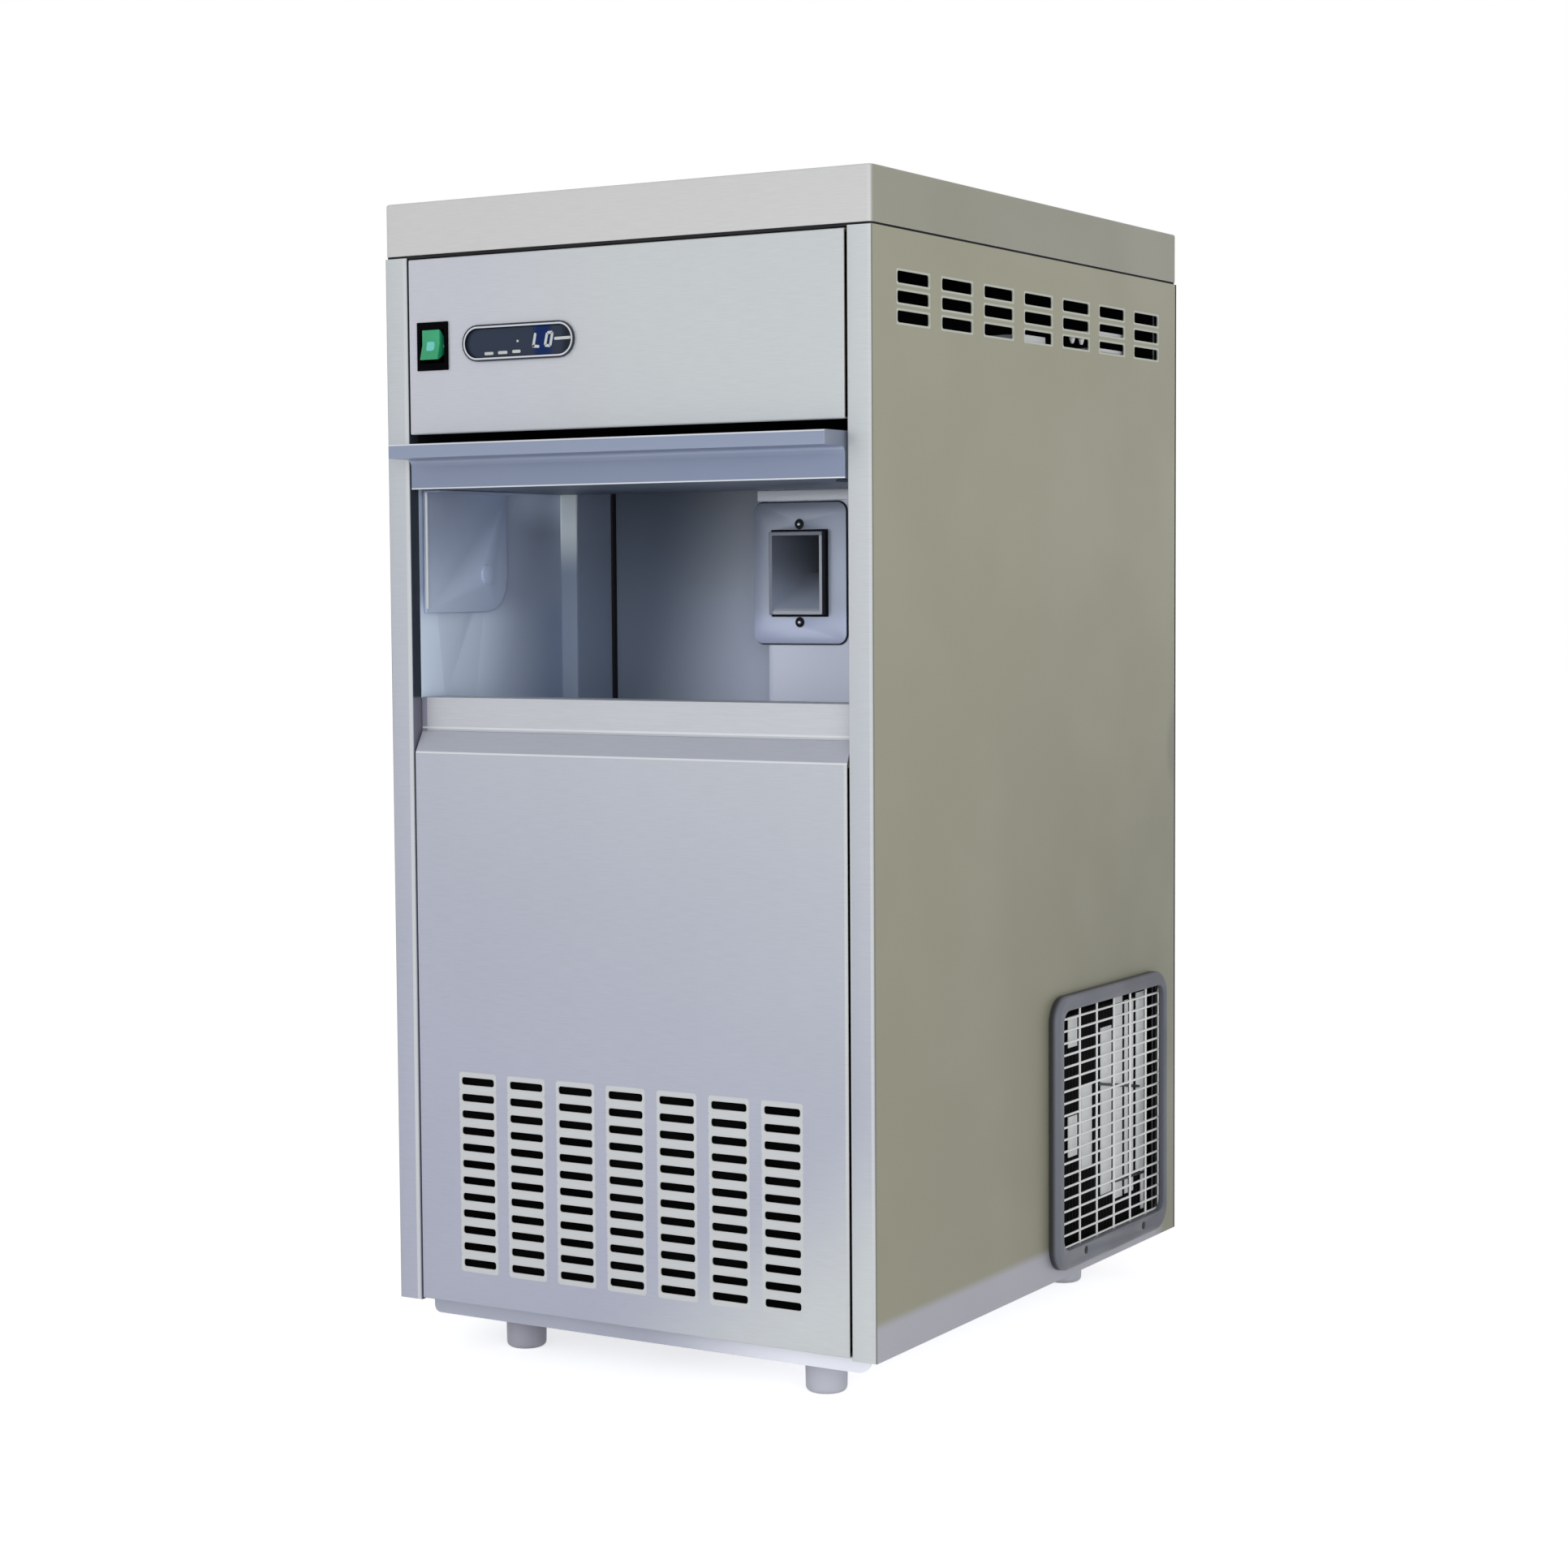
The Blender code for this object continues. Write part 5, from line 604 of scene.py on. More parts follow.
def make_bin_steel():
    """The bin's satin sheet with painted light and shade: bright by the opening and deep in its rear left corner."""
    paint = Paint("bin_steel_painted_light", 0.1, UPRIGHT)
    ramp, fade, mix, times = paint.ramp, paint.fade, paint.mix, paint.times
    x, y, z = paint.place()

    # Painted light and shade on the left wall in three heights, a painted highlight on the strip where it steps, and
    # painted shade on the wall behind the step.
    low = fade(y, 0.045, 0.175, (0.76, 0.87, 1.0), (0.225, 0.28, 0.4))
    middle = fade(y, 0.08, 0.17, (0.365, 0.425, 0.555), (0.27, 0.32, 0.42))
    high = fade(y, 0.105, 0.145, (0.4, 0.47, 0.6), (0.59, 0.69, 0.85))
    wall = fade(z, 0.53, 0.562, fade(z, 0.465, 0.495, low, middle), high)
    strip = fade(z, 0.5, 0.54, (0.28, 0.34, 0.44), (0.9, 0.98, 1.0))
    wall = mix(paint.band(y, 0.179, 0.1812, 0.0004), wall, strip)
    inner = fade(z, 0.51, 0.56, (0.215, 0.262, 0.35), (0.27, 0.31, 0.42))
    wall = fade(y, 0.1815, 0.1835, wall, inner)

    # Painted light on the back wall, paler to the right, and on the front of the outlet's box.
    lean = paint.less(x, times(z, 0.25))
    back_low = fade(lean, -0.062, 0.075, (0.155, 0.188, 0.25), (0.8, 0.855, 1.0))
    back_high = fade(lean, -0.068, 0.108, (0.14, 0.17, 0.225), (0.87, 0.92, 1.0))
    wall = fade(y, 0.225, 0.2275, wall, fade(z, 0.47, 0.515, back_low, back_high))
    box = times(ramp(x, 0.15, 0.17), ramp(y, 0.21, 0.205))
    wall = mix(box, wall, (0.84, 0.88, 1.0))

    # The shade along the top, lower at the right.
    shade = paint.most(times(ramp(x, 0.33, 0.335), ramp(z, 0.553, 0.556)), ramp(z, 0.584, 0.59))
    return paint.done(mix(shade, wall, (0.01, 0.012, 0.015)), (0.36, 0.48), 0.05)


def make_cheek_steel():
    """The door's side cheeks, with painted shade deeper at the upper front and at the top of the right one."""
    paint = Paint("cheek_steel_painted_shade", 0.0, UPRIGHT, specular=0.2)
    x, y, z = paint.place()
    low = paint.fade(y, 0.02, 0.11, (0.49, 0.56, 0.705), (0.49, 0.57, 0.74))
    high = paint.fade(y, 0.02, 0.11, (0.262, 0.306, 0.405), (0.46, 0.545, 0.725))
    tone = paint.fade(z, 0.478, 0.545, low, high)
    shade = paint.times(paint.ramp(x, 0.33, 0.335), paint.ramp(z, 0.553, 0.556))
    return paint.done(paint.mix(shade, tone, (0.05, 0.06, 0.075)), (0.6, 0.7), 0.05)


def make_plate_steel():
    """The outlet's plate, with painted shade deeper at the upper left and painted light palest along its foot."""
    paint = Paint("plate_steel_painted_light", 0.35, ACROSS)
    x, _, z = paint.place()
    slant = paint.less(paint.times(x, 0.8), z)
    bright = paint.fade(z, 0.462, 0.482, (0.66, 0.72, 0.92), (0.51, 0.57, 0.69))
    tone = paint.fade(slant, -0.405, -0.29, (0.3, 0.33, 0.41), bright)
    return paint.done(tone, (0.35, 0.45), 0.05)


def make_pan_steel():
    """The base pan's sheet, with painted light making it paler towards the right end of its lip."""
    paint = Paint("pan_steel_painted_light", 0.3, ACROSS)
    tone = paint.fade(paint.place()[X], 0.18, 0.32, (0.45, 0.465, 0.55), (0.9, 0.91, 0.98))
    return paint.done(tone, (0.45, 0.6), 0.05)


def make_foot_plastic():
    """The feet's grey moulding, with painted shade on the left pair, deepest on its right half."""
    paint = Paint("foot_plastic", 0.0, 900)
    x, _, _ = paint.place()
    left = paint.fade(x, 0.068, 0.08, (0.4, 0.4, 0.455), (0.34, 0.34, 0.39))
    return paint.done(paint.fade(x, 0.15, 0.25, left, (0.55, 0.56, 0.615)), (0.45, 0.6), 0.1)


def make_spout_plastic():
    """The outlet's moulding with painted light and shade: a pale rim, shaded to the left and on top, a shaded throat,
    and flanks dark with painted shade.
    """
    paint = Paint("spout_plastic_painted_light", 0.0, 700)
    ramp, fade, times = paint.ramp, paint.fade, paint.times
    x, y, z = paint.place()
    nx, ny, nz = paint.facing()
    rim_shade = paint.most(ramp(x, 0.1985, 0.197), ramp(z, 0.5275, 0.529))
    rim = paint.mix(rim_shade, (0.62, 0.65, 0.7), (0.3, 0.32, 0.38))
    throat = fade(z, 0.515, 0.48, (0.27, 0.3, 0.36), (0.46, 0.51, 0.62))
    front = times(ramp(ny, -0.3, -0.6), ramp(y, 0.186, 0.184))
    tone = paint.mix(front, throat, rim)
    flank = paint.most(times(ramp(x, 0.2366, 0.237), ramp(nx, 0.4, 0.7)),
                       times(ramp(z, 0.4742, 0.4738), ramp(nz, -0.4, -0.7)))
    return paint.done(paint.mix(flank, tone, (0.01, 0.011, 0.014)), (0.35, 0.5), 0.08)


def make_leaf_steel():
    """The door's sheet: satin outside, which is on top when the door is open, and shaded beneath."""
    paint = Paint("leaf_steel", 0.2, ACROSS)
    under = paint.clouded((0.135, 0.16, 0.205), (0.16, 0.185, 0.24))
    outer = paint.clouded((0.42, 0.435, 0.47), (0.46, 0.475, 0.51))
    return paint.done(paint.fade(paint.facing()[Z], 0.2, 0.5, under, outer), (0.4, 0.5), 0.05)


def make_handle_alloy():
    """The drawn handle with painted light and shade: deep in the cove and darker at its ends, with painted highlights
    along its lower edge and the top of its lip.
    """
    paint = Paint("handle_alloy", 0.35, FINE_ACROSS)
    ramp, fade = paint.ramp, paint.fade
    _, y, z = paint.place()
    nx, _, nz = paint.facing()
    tone = fade(z, 0.56, 0.577, (0.212, 0.25, 0.35), (0.225, 0.265, 0.37))
    tone = fade(y, -0.014, -0.022, tone, (0.262, 0.306, 0.415))
    below = fade(y, -0.002, -0.006, (0.37, 0.425, 0.56), (0.295, 0.34, 0.465))
    tone = fade(nz, -0.4, -0.8, tone, below)
    edge = paint.most(ramp(z, 0.5616, 0.561), paint.band(z, 0.5893, 0.6, 0.0006))
    tone = paint.mix(edge, tone, (0.7, 0.72, 0.76))
    tone = fade(paint.size(nx), 0.6, 0.9, tone, (0.235, 0.265, 0.34))
    return paint.done(tone, (0.32, 0.42), 0.05)


def make_bezel_trim():
    """The display's rim: a painted highlight line on its face, and the dark paint of the rest."""
    paint = Paint("display_trim_and_highlight", 0.3, 600)
    x, _, z = paint.place()
    beyond = paint.most(paint.less(paint.size(paint.less(x, 0.11115)), 0.03335), 0.0)
    radius = paint.length(beyond, paint.less(z, 0.6568))
    line = paint.times(paint.ramp(paint.facing()[Y], -0.45, -0.8), paint.band(radius, 0.0101, 0.0109, 0.0003))
    return paint.done(paint.mix(line, (0.016, 0.022, 0.036), (0.6, 0.61, 0.66)), (0.25, 0.35), 0.03)


ZINC = ((0.36, 0.37, 0.385), (0.46, 0.47, 0.48))


def make_back_steel():
    """The rear sheet: bright zinc outside, and near black inside as painted shade."""
    paint = Paint("rear_galvanised_painted_shade", 0.5, 120)
    tone = paint.fade(paint.facing()[Y], -0.3, -0.7, paint.clouded(*ZINC), (0.005, 0.005, 0.006))
    return paint.done(tone, (0.4, 0.55), 0.08)


def make_grille_plastic():
    """The grille frame's grey moulding, with painted shade dark towards the cabinet's wall and deeper to the rear."""
    paint = Paint("grille_plastic_painted_shade", 0.0, 900)
    x, y, _ = paint.place()
    pale = paint.fade(y, 0.28, 0.4, (0.15, 0.158, 0.188), (0.105, 0.111, 0.136))
    tone = paint.fade(x, WIDTH + 0.0025, WIDTH + 0.0055, (0.035, 0.037, 0.042), pale)
    return paint.done(tone, (0.4, 0.55), 0.12)


def make_window():
    """The display's dark glass: bluer behind the digits, and darker at its right end."""
    paint = Paint("display_glass", 0.0, 900, specular=0.12)
    x, _, _ = paint.place()
    glass = paint.fade(x, 0.144, 0.15, (0.028, 0.038, 0.064), (0.013, 0.017, 0.026))
    tone = paint.mix(paint.band(x, 0.127, 0.134, 0.006), glass, (0.002, 0.018, 0.1))
    return paint.done(tone, (0.12, 0.22), 0.02, 0.0001)


def make_glow(name, colour, strength):
    """A lit segment or lens: a pale body with a little light of its own."""
    paint = Paint(name, 0.0, 1500)
    shade = paint.fade(paint.cloud, 0.3, 0.7, colour, tuple(0.92 * part for part in colour))
    paint.fill(paint.shader, Base_Color=shade, Roughness=0.35, Emission_Color=shade, Emission_Strength=strength)
    return paint.material


# Finishes

# Painted highlight lines along edges and folds, and the painted highlights round the slots of the vents and the lower
# front.
EDGE_HIGHLIGHT, FOLD_HIGHLIGHT = (0.59, 0.6, 0.605), (0.68, 0.69, 0.72)
VENT_RIM_HIGHLIGHTS = dict(First_Along=VENT_FIRST + VENT_LENGTH / 2, Pitch_Along=VENT_PITCH, Last_Along=VENTS_ALONG - 1,
                 Half_Along=VENT_LENGTH / 2, First_Up=VENT_TOP - VENT_HEIGHT / 2, Pitch_Up=-VENT_ROW,
                 Last_Up=VENT_ROWS - 1, Half_Up=VENT_HEIGHT / 2, Rim=0.0016)
SLOT_RIM_HIGHLIGHTS = dict(First_Along=0.0691, Pitch_Along=SLOT_PITCH, Last_Along=SLOTS_ALONG - 1, Half_Along=0.0135,
                 First_Up=0.15625, Pitch_Up=-SLOT_ROW, Last_Up=SLOT_ROWS - 1, Half_Up=0.0042, Rim=0.0025)
STEEL = steel("cabinet_steel")
LID_STEEL = steel("lid_steel", ((0.59, 0.585, 0.58), (0.575, 0.585, 0.585)), ((0.33, 0.32, 0.258), SIDE_TONES[1]))
# The side's pale edge lines are painted highlights.
SIDE_STEEL = steel("side_steel", rim_highlights=(Y, (0.52, 0.55, 0.48), VENT_RIM_HIGHLIGHTS), bands=[
    (X, 0.0152, 0.0175, 0.0003, EDGE_HIGHLIGHT), (X, 0.3768, 0.3783, 0.0003, EDGE_HIGHLIGHT),
    (X, 0.3616, 0.3627, 0.0003, EDGE_HIGHLIGHT)])
# The lower front's bevel band is painted shade, and its edge and fold lines are painted highlights.
FRONT_STEEL = steel("front_steel", rim_highlights=(X, (0.575, 0.585, 0.59), SLOT_RIM_HIGHLIGHTS), bands=[
    (X, 0.358, 0.361, 0.0004, EDGE_HIGHLIGHT), (Z, 0.3818, 0.4, 0.0005, (0.381, 0.397, 0.451)),
    (Z, 0.3807, 0.3815, 0.0004, FOLD_HIGHLIGHT)])
# The sill's left end is painted shade, and the line along its lower fold is a painted highlight.
SILL_STEEL = steel("sill_steel", ((0.545, 0.56, 0.59), (0.52, 0.535, 0.575)), ((0.36, 0.37, 0.4),) * 2, bands=[
    (X, 0.0, 0.023, 0.0006, (0.3, 0.3, 0.38)), (Z, 0.3972, 0.3982, 0.0003, FOLD_HIGHLIGHT)])
BIN_STEEL = make_bin_steel()
BACK_STEEL = make_back_steel()
PAN_STEEL = make_pan_steel()
LEAF_STEEL = make_leaf_steel()
CHEEK_STEEL = make_cheek_steel()
PLATE_STEEL = make_plate_steel()
HANDLE_ALLOY = make_handle_alloy()
BEZEL_TRIM = make_bezel_trim()
DISPLAY_GLASS = make_window()
SPOUT_PLASTIC = make_spout_plastic()
GRILLE_PLASTIC = make_grille_plastic()
FOOT_PLASTIC = make_foot_plastic()
LENS_TINT = make_glow("rocker_lens", (0.13, 0.5, 0.44), 0.12)
SEGMENT = make_glow("lit_segments", (0.54, 0.555, 0.55), 0.05)

TRIM_STEEL = worked("trim_steel", (0.92, 0.95, 1.0), (0.96, 0.98, 1.0), 0.1, (0.35, 0.45), ACROSS, 0.05)
GALVANISED = worked("galvanised_sheet", *ZINC, 0.6, (0.4, 0.55), 120, 0.08)
# Painted reflection of the condenser's fins, on the strips that show through the grille.
FIN_SHEEN = worked("painted_fin_sheen", (0.78, 0.8, 0.8), (0.86, 0.87, 0.87), 0.1, (0.4, 0.55), ON_FINS, 0.08)
# Near black sheet, as painted shade inside the cabinet.
SHADE_SHEET = worked("painted_shade_sheet", (0.006, 0.006, 0.007), (0.011, 0.011, 0.012), 0.0, (0.6, 0.8), 120, 0.1,
                    specular=0.1)
FIN = worked("fin_alloy", (0.01, 0.01, 0.011), (0.018, 0.018, 0.019), 0.2, (0.6, 0.75), ON_FINS, 0.1, specular=0.2)
CAST = worked("cast_alloy", (0.4, 0.41, 0.42), (0.5, 0.51, 0.52), 0.85, (0.45, 0.65), 260, 0.35)
RIM = worked("bright_rim", (0.5, 0.52, 0.6), (0.62, 0.64, 0.7), 0.9, (0.18, 0.28), 600, 0.03)
COPPER = worked("copper_pipe", (0.52, 0.2, 0.09), (0.68, 0.32, 0.17), 0.95, (0.22, 0.42), 90, 0.06)
BRASS = worked("brass", (0.55, 0.38, 0.13), (0.68, 0.5, 0.2), 0.95, (0.22, 0.36), 200, 0.08)
WIRE = worked("grille_wire", (0.74, 0.75, 0.74), (0.82, 0.83, 0.82), 0.2, (0.3, 0.45), 800, 0.05)
ENAMEL = worked("black_enamel", (0.01, 0.01, 0.012), (0.018, 0.018, 0.02), 0.1, (0.25, 0.4), 150, 0.1)
BLACK = worked("black_moulding", (0.012, 0.012, 0.014), (0.02, 0.02, 0.023), 0.0, (0.35, 0.55), 1200, 0.1)
SWITCH_BLACK = worked("switch_black", (0.001, 0.001, 0.0015), (0.002, 0.002, 0.003), 0.0, (0.55, 0.7), 1200, 0.1,
                      specular=0.02)
# Black rubber, also for the dark pieces that stand for shade in gaps and recesses.
BLACK_AND_SHADE = worked("black_rubber_and_painted_shade", (0.004, 0.004, 0.005), (0.008, 0.008, 0.009), 0.0, (0.7, 0.9), 900, 0.2)
# Near black, for pieces that stand for shade in gaps and behind slots.
SHADE_BLACK = worked("painted_shade_black", (0.002,) * 3, (0.004,) * 3, 0.0, (0.9, 1.0), 1500, 0.5, specular=0.0)
GREEN = worked("green_rocker", (0.018, 0.3, 0.125), (0.03, 0.39, 0.18), 0.0, (0.22, 0.35), 700, 0.05)
WHITE_PLASTIC = worked("white_plastic", (0.66, 0.67, 0.68), (0.72, 0.73, 0.74), 0.0, (0.4, 0.55), 700, 0.08)
GREY_PLASTIC = worked("grey_plastic", (0.15, 0.162, 0.2), (0.185, 0.195, 0.225), 0.0, (0.4, 0.55), 900, 0.12)
CLEAR_HOSE = worked("clear_hose", (0.58, 0.61, 0.63), (0.66, 0.69, 0.71), 0.0, (0.2, 0.3), 300, 0.04, coat=0.4)
BOARD = worked("circuit_board", (0.012, 0.12, 0.045), (0.02, 0.17, 0.065), 0.0, (0.35, 0.5), 800, 0.15)
FOAM = worked("white_foam", (0.7, 0.69, 0.62), (0.8, 0.79, 0.73), 0.0, (0.8, 0.95), 500, 0.6)


# Cabinet

def side_x(side, value):
    """A distance from the left side, or the same distance from the right one."""
    return value if side == "left" else WIDTH - value


def window_reach(low_x, high_x, margin=0.0):
    """The two corners of a block through the grille's window, wider by a margin all round."""
    return ((low_x, *(value - margin for value in WINDOW_LOW)), (high_x, *(value + margin for value in WINDOW_HIGH)))


def side_panel(side):
    inner, outer = side_x(side, PILLAR), side_x(side, 0)
    panel = block(f"side_panel_{side}_sheet", (min(inner, outer), 0, 0), (max(inner, outer), SIDE_BACK, SIDE_TOP))
    drop_faces(panel, at(x=inner))
    pull(panel, "EDGE", at(x=inner, y=0), (0, RECESS, 0))
    bend(panel, lambda middle, span: near(span.z, SIDE_TOP) and (near(middle.x, outer) or near(middle.y, 0)), 0.0014)
    bend(panel, lambda middle, span: near(middle.x, outer, 0.0004) and span.y > 0.3
         and (near(middle.z, 0) or near(middle.z, SIDE_TOP)), FOLD)
    thicken(panel)
    reach, window_gap = 0.004, 0.003
    vent = rounded_block((outer - reach, VENT_FIRST, VENT_TOP - VENT_HEIGHT),
                         (outer + reach, VENT_FIRST + VENT_LENGTH, VENT_TOP), X, 0.0019)
    cut(panel, repeat(vent, grid(VENTS_ALONG, VENT_ROWS, (0, VENT_PITCH, 0), (0, 0, -VENT_ROW))))
    if side == "right":
        cut(panel, rounded_block(*window_reach(WIDTH - reach, WIDTH + reach, window_gap), X, WINDOW_CORNER))
    finish(deburr(panel), "satin_steel", SIDE_STEEL, f"side_panel_{side}")


def top_cover():
    lid = block("top_cover_lid", (0, 0, SKIRT_BOTTOM), (WIDTH, DEPTH, BODY_TOP))
    bend(lid, lambda middle, span: span.z > 0.02, 0.004, 5)
    bend(lid, at(z=BODY_TOP), 0.0016, 4)
    drop_faces(lid, at(z=SKIRT_BOTTOM))
    finish(deburr(thicken(lid)), "satin_steel", LID_STEEL, "top_cover")
    # A near black strip in the gap under the lid's skirt, as painted shade.
    inset = 0.0014
    dark_filler = block("lid_gap_shade", (inset, inset, SIDE_TOP - 0.0005),
                   (WIDTH - inset, DEPTH - inset, SKIRT_BOTTOM + 0.0004))
    drop_faces(dark_filler, lambda middle, span: near(span.z, 0))
    finish(soften(thicken(dark_filler, 0.0022), 0.0002, 1), "black_plastic", BLACK_AND_SHADE)


def long_front_edge(middle, span):
    """A test for the folds of a front panel."""
    return near(middle.y, 0) and span.x > 0.3


def control_panel():
    panel = block("control_panel_sheet", (PANEL_LEFT, 0, PANEL_LOW), (PANEL_RIGHT, FLANGE, 0.7157))
    drop_faces(panel, lambda middle, span: near(middle.y, FLANGE) or near(span.x, 0))
    shift(panel, "EDGE", at(y=FLANGE, z=PANEL_LOW), (0, -0.01, 0))
    bend(panel, long_front_edge, FOLD)
    thicken(panel)
    cut(panel, block("cutter", (0.029, -0.004, 0.6422), (0.0514, 0.004, 0.671)),
        rounded_block((0.0676, -0.004, 0.6466), (0.1547, 0.004, 0.667), Y, 0.01, 6))
    finish(deburr(panel), "satin_steel", STEEL, "control_panel")


def lower_panel():
    top, slope = 0.381, (0, 0.00805, 0.0144)
    panel = block("lower_front_sheet", (PANEL_LEFT, 0, 0.0013), (PANEL_RIGHT, FLANGE, top))
    drop_faces(panel, lambda middle, span: near(middle.y, FLANGE) or near(span.x, 0) or near(middle.z, top))
    pull(panel, "EDGE", at(y=0, z=top), slope)
    bend(panel, long_front_edge, FOLD)
    thicken(panel)
    slot = rounded_block((0.0556, -0.003, 0.15365), (0.0826, 0.004, 0.15885), Y, 0.0018)
    cut(panel, repeat(slot, grid(SLOTS_ALONG, SLOT_ROWS, (SLOT_PITCH, 0, 0), (0, 0, -SLOT_ROW))))
    finish(deburr(panel), "satin_steel", FRONT_STEEL, "lower_front_panel")


def machine_screw(name, place, radius):
    """A round-headed screw with a cross recess, facing the back."""
    x, y, z = place
    top, arm, slit, deep = y + 0.002, radius * 0.55, radius * 0.14, 0.0009
    head = bend(rod(name, radius, place, (x, top, z), 20), at(y=top), 0.0011)
    for wide, high in ((arm, slit), (slit, arm)):
        cut(head, block("cutter", (x - wide, top - deep, z - high), (x + wide, y + 0.004, z + high)))
    return smooth(head)


def back_panel():
    """The rear sheet with its louvres, the holes of the inlet, drain and cord, and its screws."""
    sheet = block("back_panel_sheet", (0, DEPTH - SHEET, 0), (WIDTH, DEPTH, SIDE_TOP))
    slot = rounded_block((0.08, DEPTH - 0.004, 0.3155), (0.106, DEPTH + 0.003, 0.32), Y, 0.0016)
    cut(sheet, repeat(slot, grid(5, 4, (0.044, 0, 0), (0, 0, -SLOT_ROW))))
    for x, z, radius in ((0.085, 0.503, 0.0107), (0.15, 0.04, 0.0083), (0.235, 0.04, 0.0093)):
        cut(sheet, rod("cutter", radius, (x, DEPTH - 0.005, z), (x, DEPTH + 0.005, z), 32))
    finish(deburr(sheet), "galvanised", BACK_STEEL, "back_panel")
    margin, foot = 0.0085, 0.03
    ways = [(x, 0, z) for x in (0, WIDTH - 2 * margin) for z in (0, 0.165, 0.33, 0.495, 0.655)]
    ways += [(x, 0, z) for x in (0.121, 0.242) for z in (-0.015, 0.676)]
    finish(repeat(machine_screw("back_screws", (margin, DEPTH, foot), 0.0033), ways), "silver_trim", RIM)


def feet():
    """Moulded feet on short stems, which tighten against the pan."""
    inset_x, inset_y, ground, shoulder = 0.0685, 0.0546, -0.038, -0.0133
    for end, y in (("front", inset_y), ("rear", DEPTH - inset_y)):
        for side in ("left", "right"):
            x = side_x(side, inset_x)
            foot = rod(f"foot_{end}_{side}_pad", 0.0138, (x, y, ground), (x, y, shoulder), 48, 0.0142)
            bend(foot, at(z=ground), 0.0036, 6)
            bend(foot, at(z=shoulder), 0.0008, 2)
            stem = rod("stem", 0.005, (x, y, -0.014), (x, y, -0.0044), 20)
            finish(smooth(combine(foot, stem)), "foot_plastic", FOOT_PLASTIC, f"foot_{end}_{side}")


def shade_fillers():
    """Near black strips in the gaps beside the front panels and a near black pad behind the lower slots, as painted
    shade.
    """
    strips = [block("panel_gap_shade", (left, 0.0078, bottom), (left + 0.0086, 0.0094, top))
              for left in (0.0188, 0.3526) for bottom, top in ((0.004, 0.378), (0.6, 0.714))]
    finish(soften(combine(*strips), 0.0004, 2), "black_plastic", SHADE_BLACK)
    pad = rounded_block((0.046, 0.003, 0.018), (0.338, 0.006, 0.168), Y, 0.004, name="slot_shade_pad")
    finish(soften(pad, 0.0005, 2), "black_plastic", SHADE_BLACK)


def base_pan():
    """A shallow tray with a deeper lip across its front."""
    left, right, front, top, lip_foot = 0.015, 0.365, 0.0195, -0.0003, -0.013
    tray = block("base_pan_tray", (left, front, -0.0045), (right, 0.4525, top))
    drop_faces(tray, at(z=top))
    bend(tray, lambda middle, span: span.z > 0.003, 0.006, 5)
    thicken(tray, 0.0012)
    lip = block("lip", (left, front, lip_foot), (right, 0.021, top))
    bend(lip, at(x=left, z=lip_foot), 0.005, 6)
    bend(lip, at(x=right, z=lip_foot), 0.01, 8)
    cut(tray, lip, operation="UNION")
    finish(soften(tray, 0.0003, 2, 50), "galvanised", PAN_STEEL, "base_pan")


# Door and bin

def door():
    """The drawn handle with its cove, the leaf, its two cheeks and the bead on the left cheek."""
    top, under, reach, lip, cove = 0.59, 0.5605, 0.0256, 0.0095, 0.005
    bar = block("door_handle_bar", (PANEL_LEFT, 0, under), (PANEL_RIGHT, 0.002, top))
    choose(bar, "FACE", at())
    bpy.ops.mesh.bisect(plane_co=Vector((0, 0, top - lip)) + CORNER, plane_no=(0, 0, 1))
    leave()
    pull(bar, "FACE", lambda middle, span: near(middle.y, 0) and middle.z > top - lip, (0, -reach, 0))
    bend(bar, lambda middle, span: long_front_edge(middle, span) and near(middle.z, top - lip), cove, 8)
    bend(bar, at(y=-reach), FOLD)
    finish(soften(bar, 0.0004), "handle_alloy", HANDLE_ALLOY, "door_handle")
    dress("door_leaf", "satin_steel", LEAF_STEEL, 0.0006)
    for side in ("left", "right"):
        dress(f"door_cheek_{side}", "bin_steel", CHEEK_STEEL, 0.0003)
    bead = block("cheek_edge_bead", (0.0211, 0.0128, 0.479), (0.0226, 0.0147, 0.56))
    finish(soften(bead, 0.0005, 3), "white_plastic", WHITE_PLASTIC, body="door")


def bin_lining():
    dress("bin_liner", "bin_steel", BIN_STEEL, 0.0004)
    bead = block("corner_bead", (0.0314, 0.2255, 0.2152), (0.0334, 0.2302, 0.624))
    bend(bead, lambda middle, span: span.z > 0.3 and middle.x > 0.033 and middle.y < 0.2285, 0.0012)
    finish(smooth(bead), "black_plastic", BLACK_AND_SHADE)
    strip = block("outlet_strip", (0.1833, 0.1858, 0.5529), (0.3612, 0.1899, 0.5603))
    finish(soften(strip, 0.0006), "satin_steel", TRIM_STEEL)


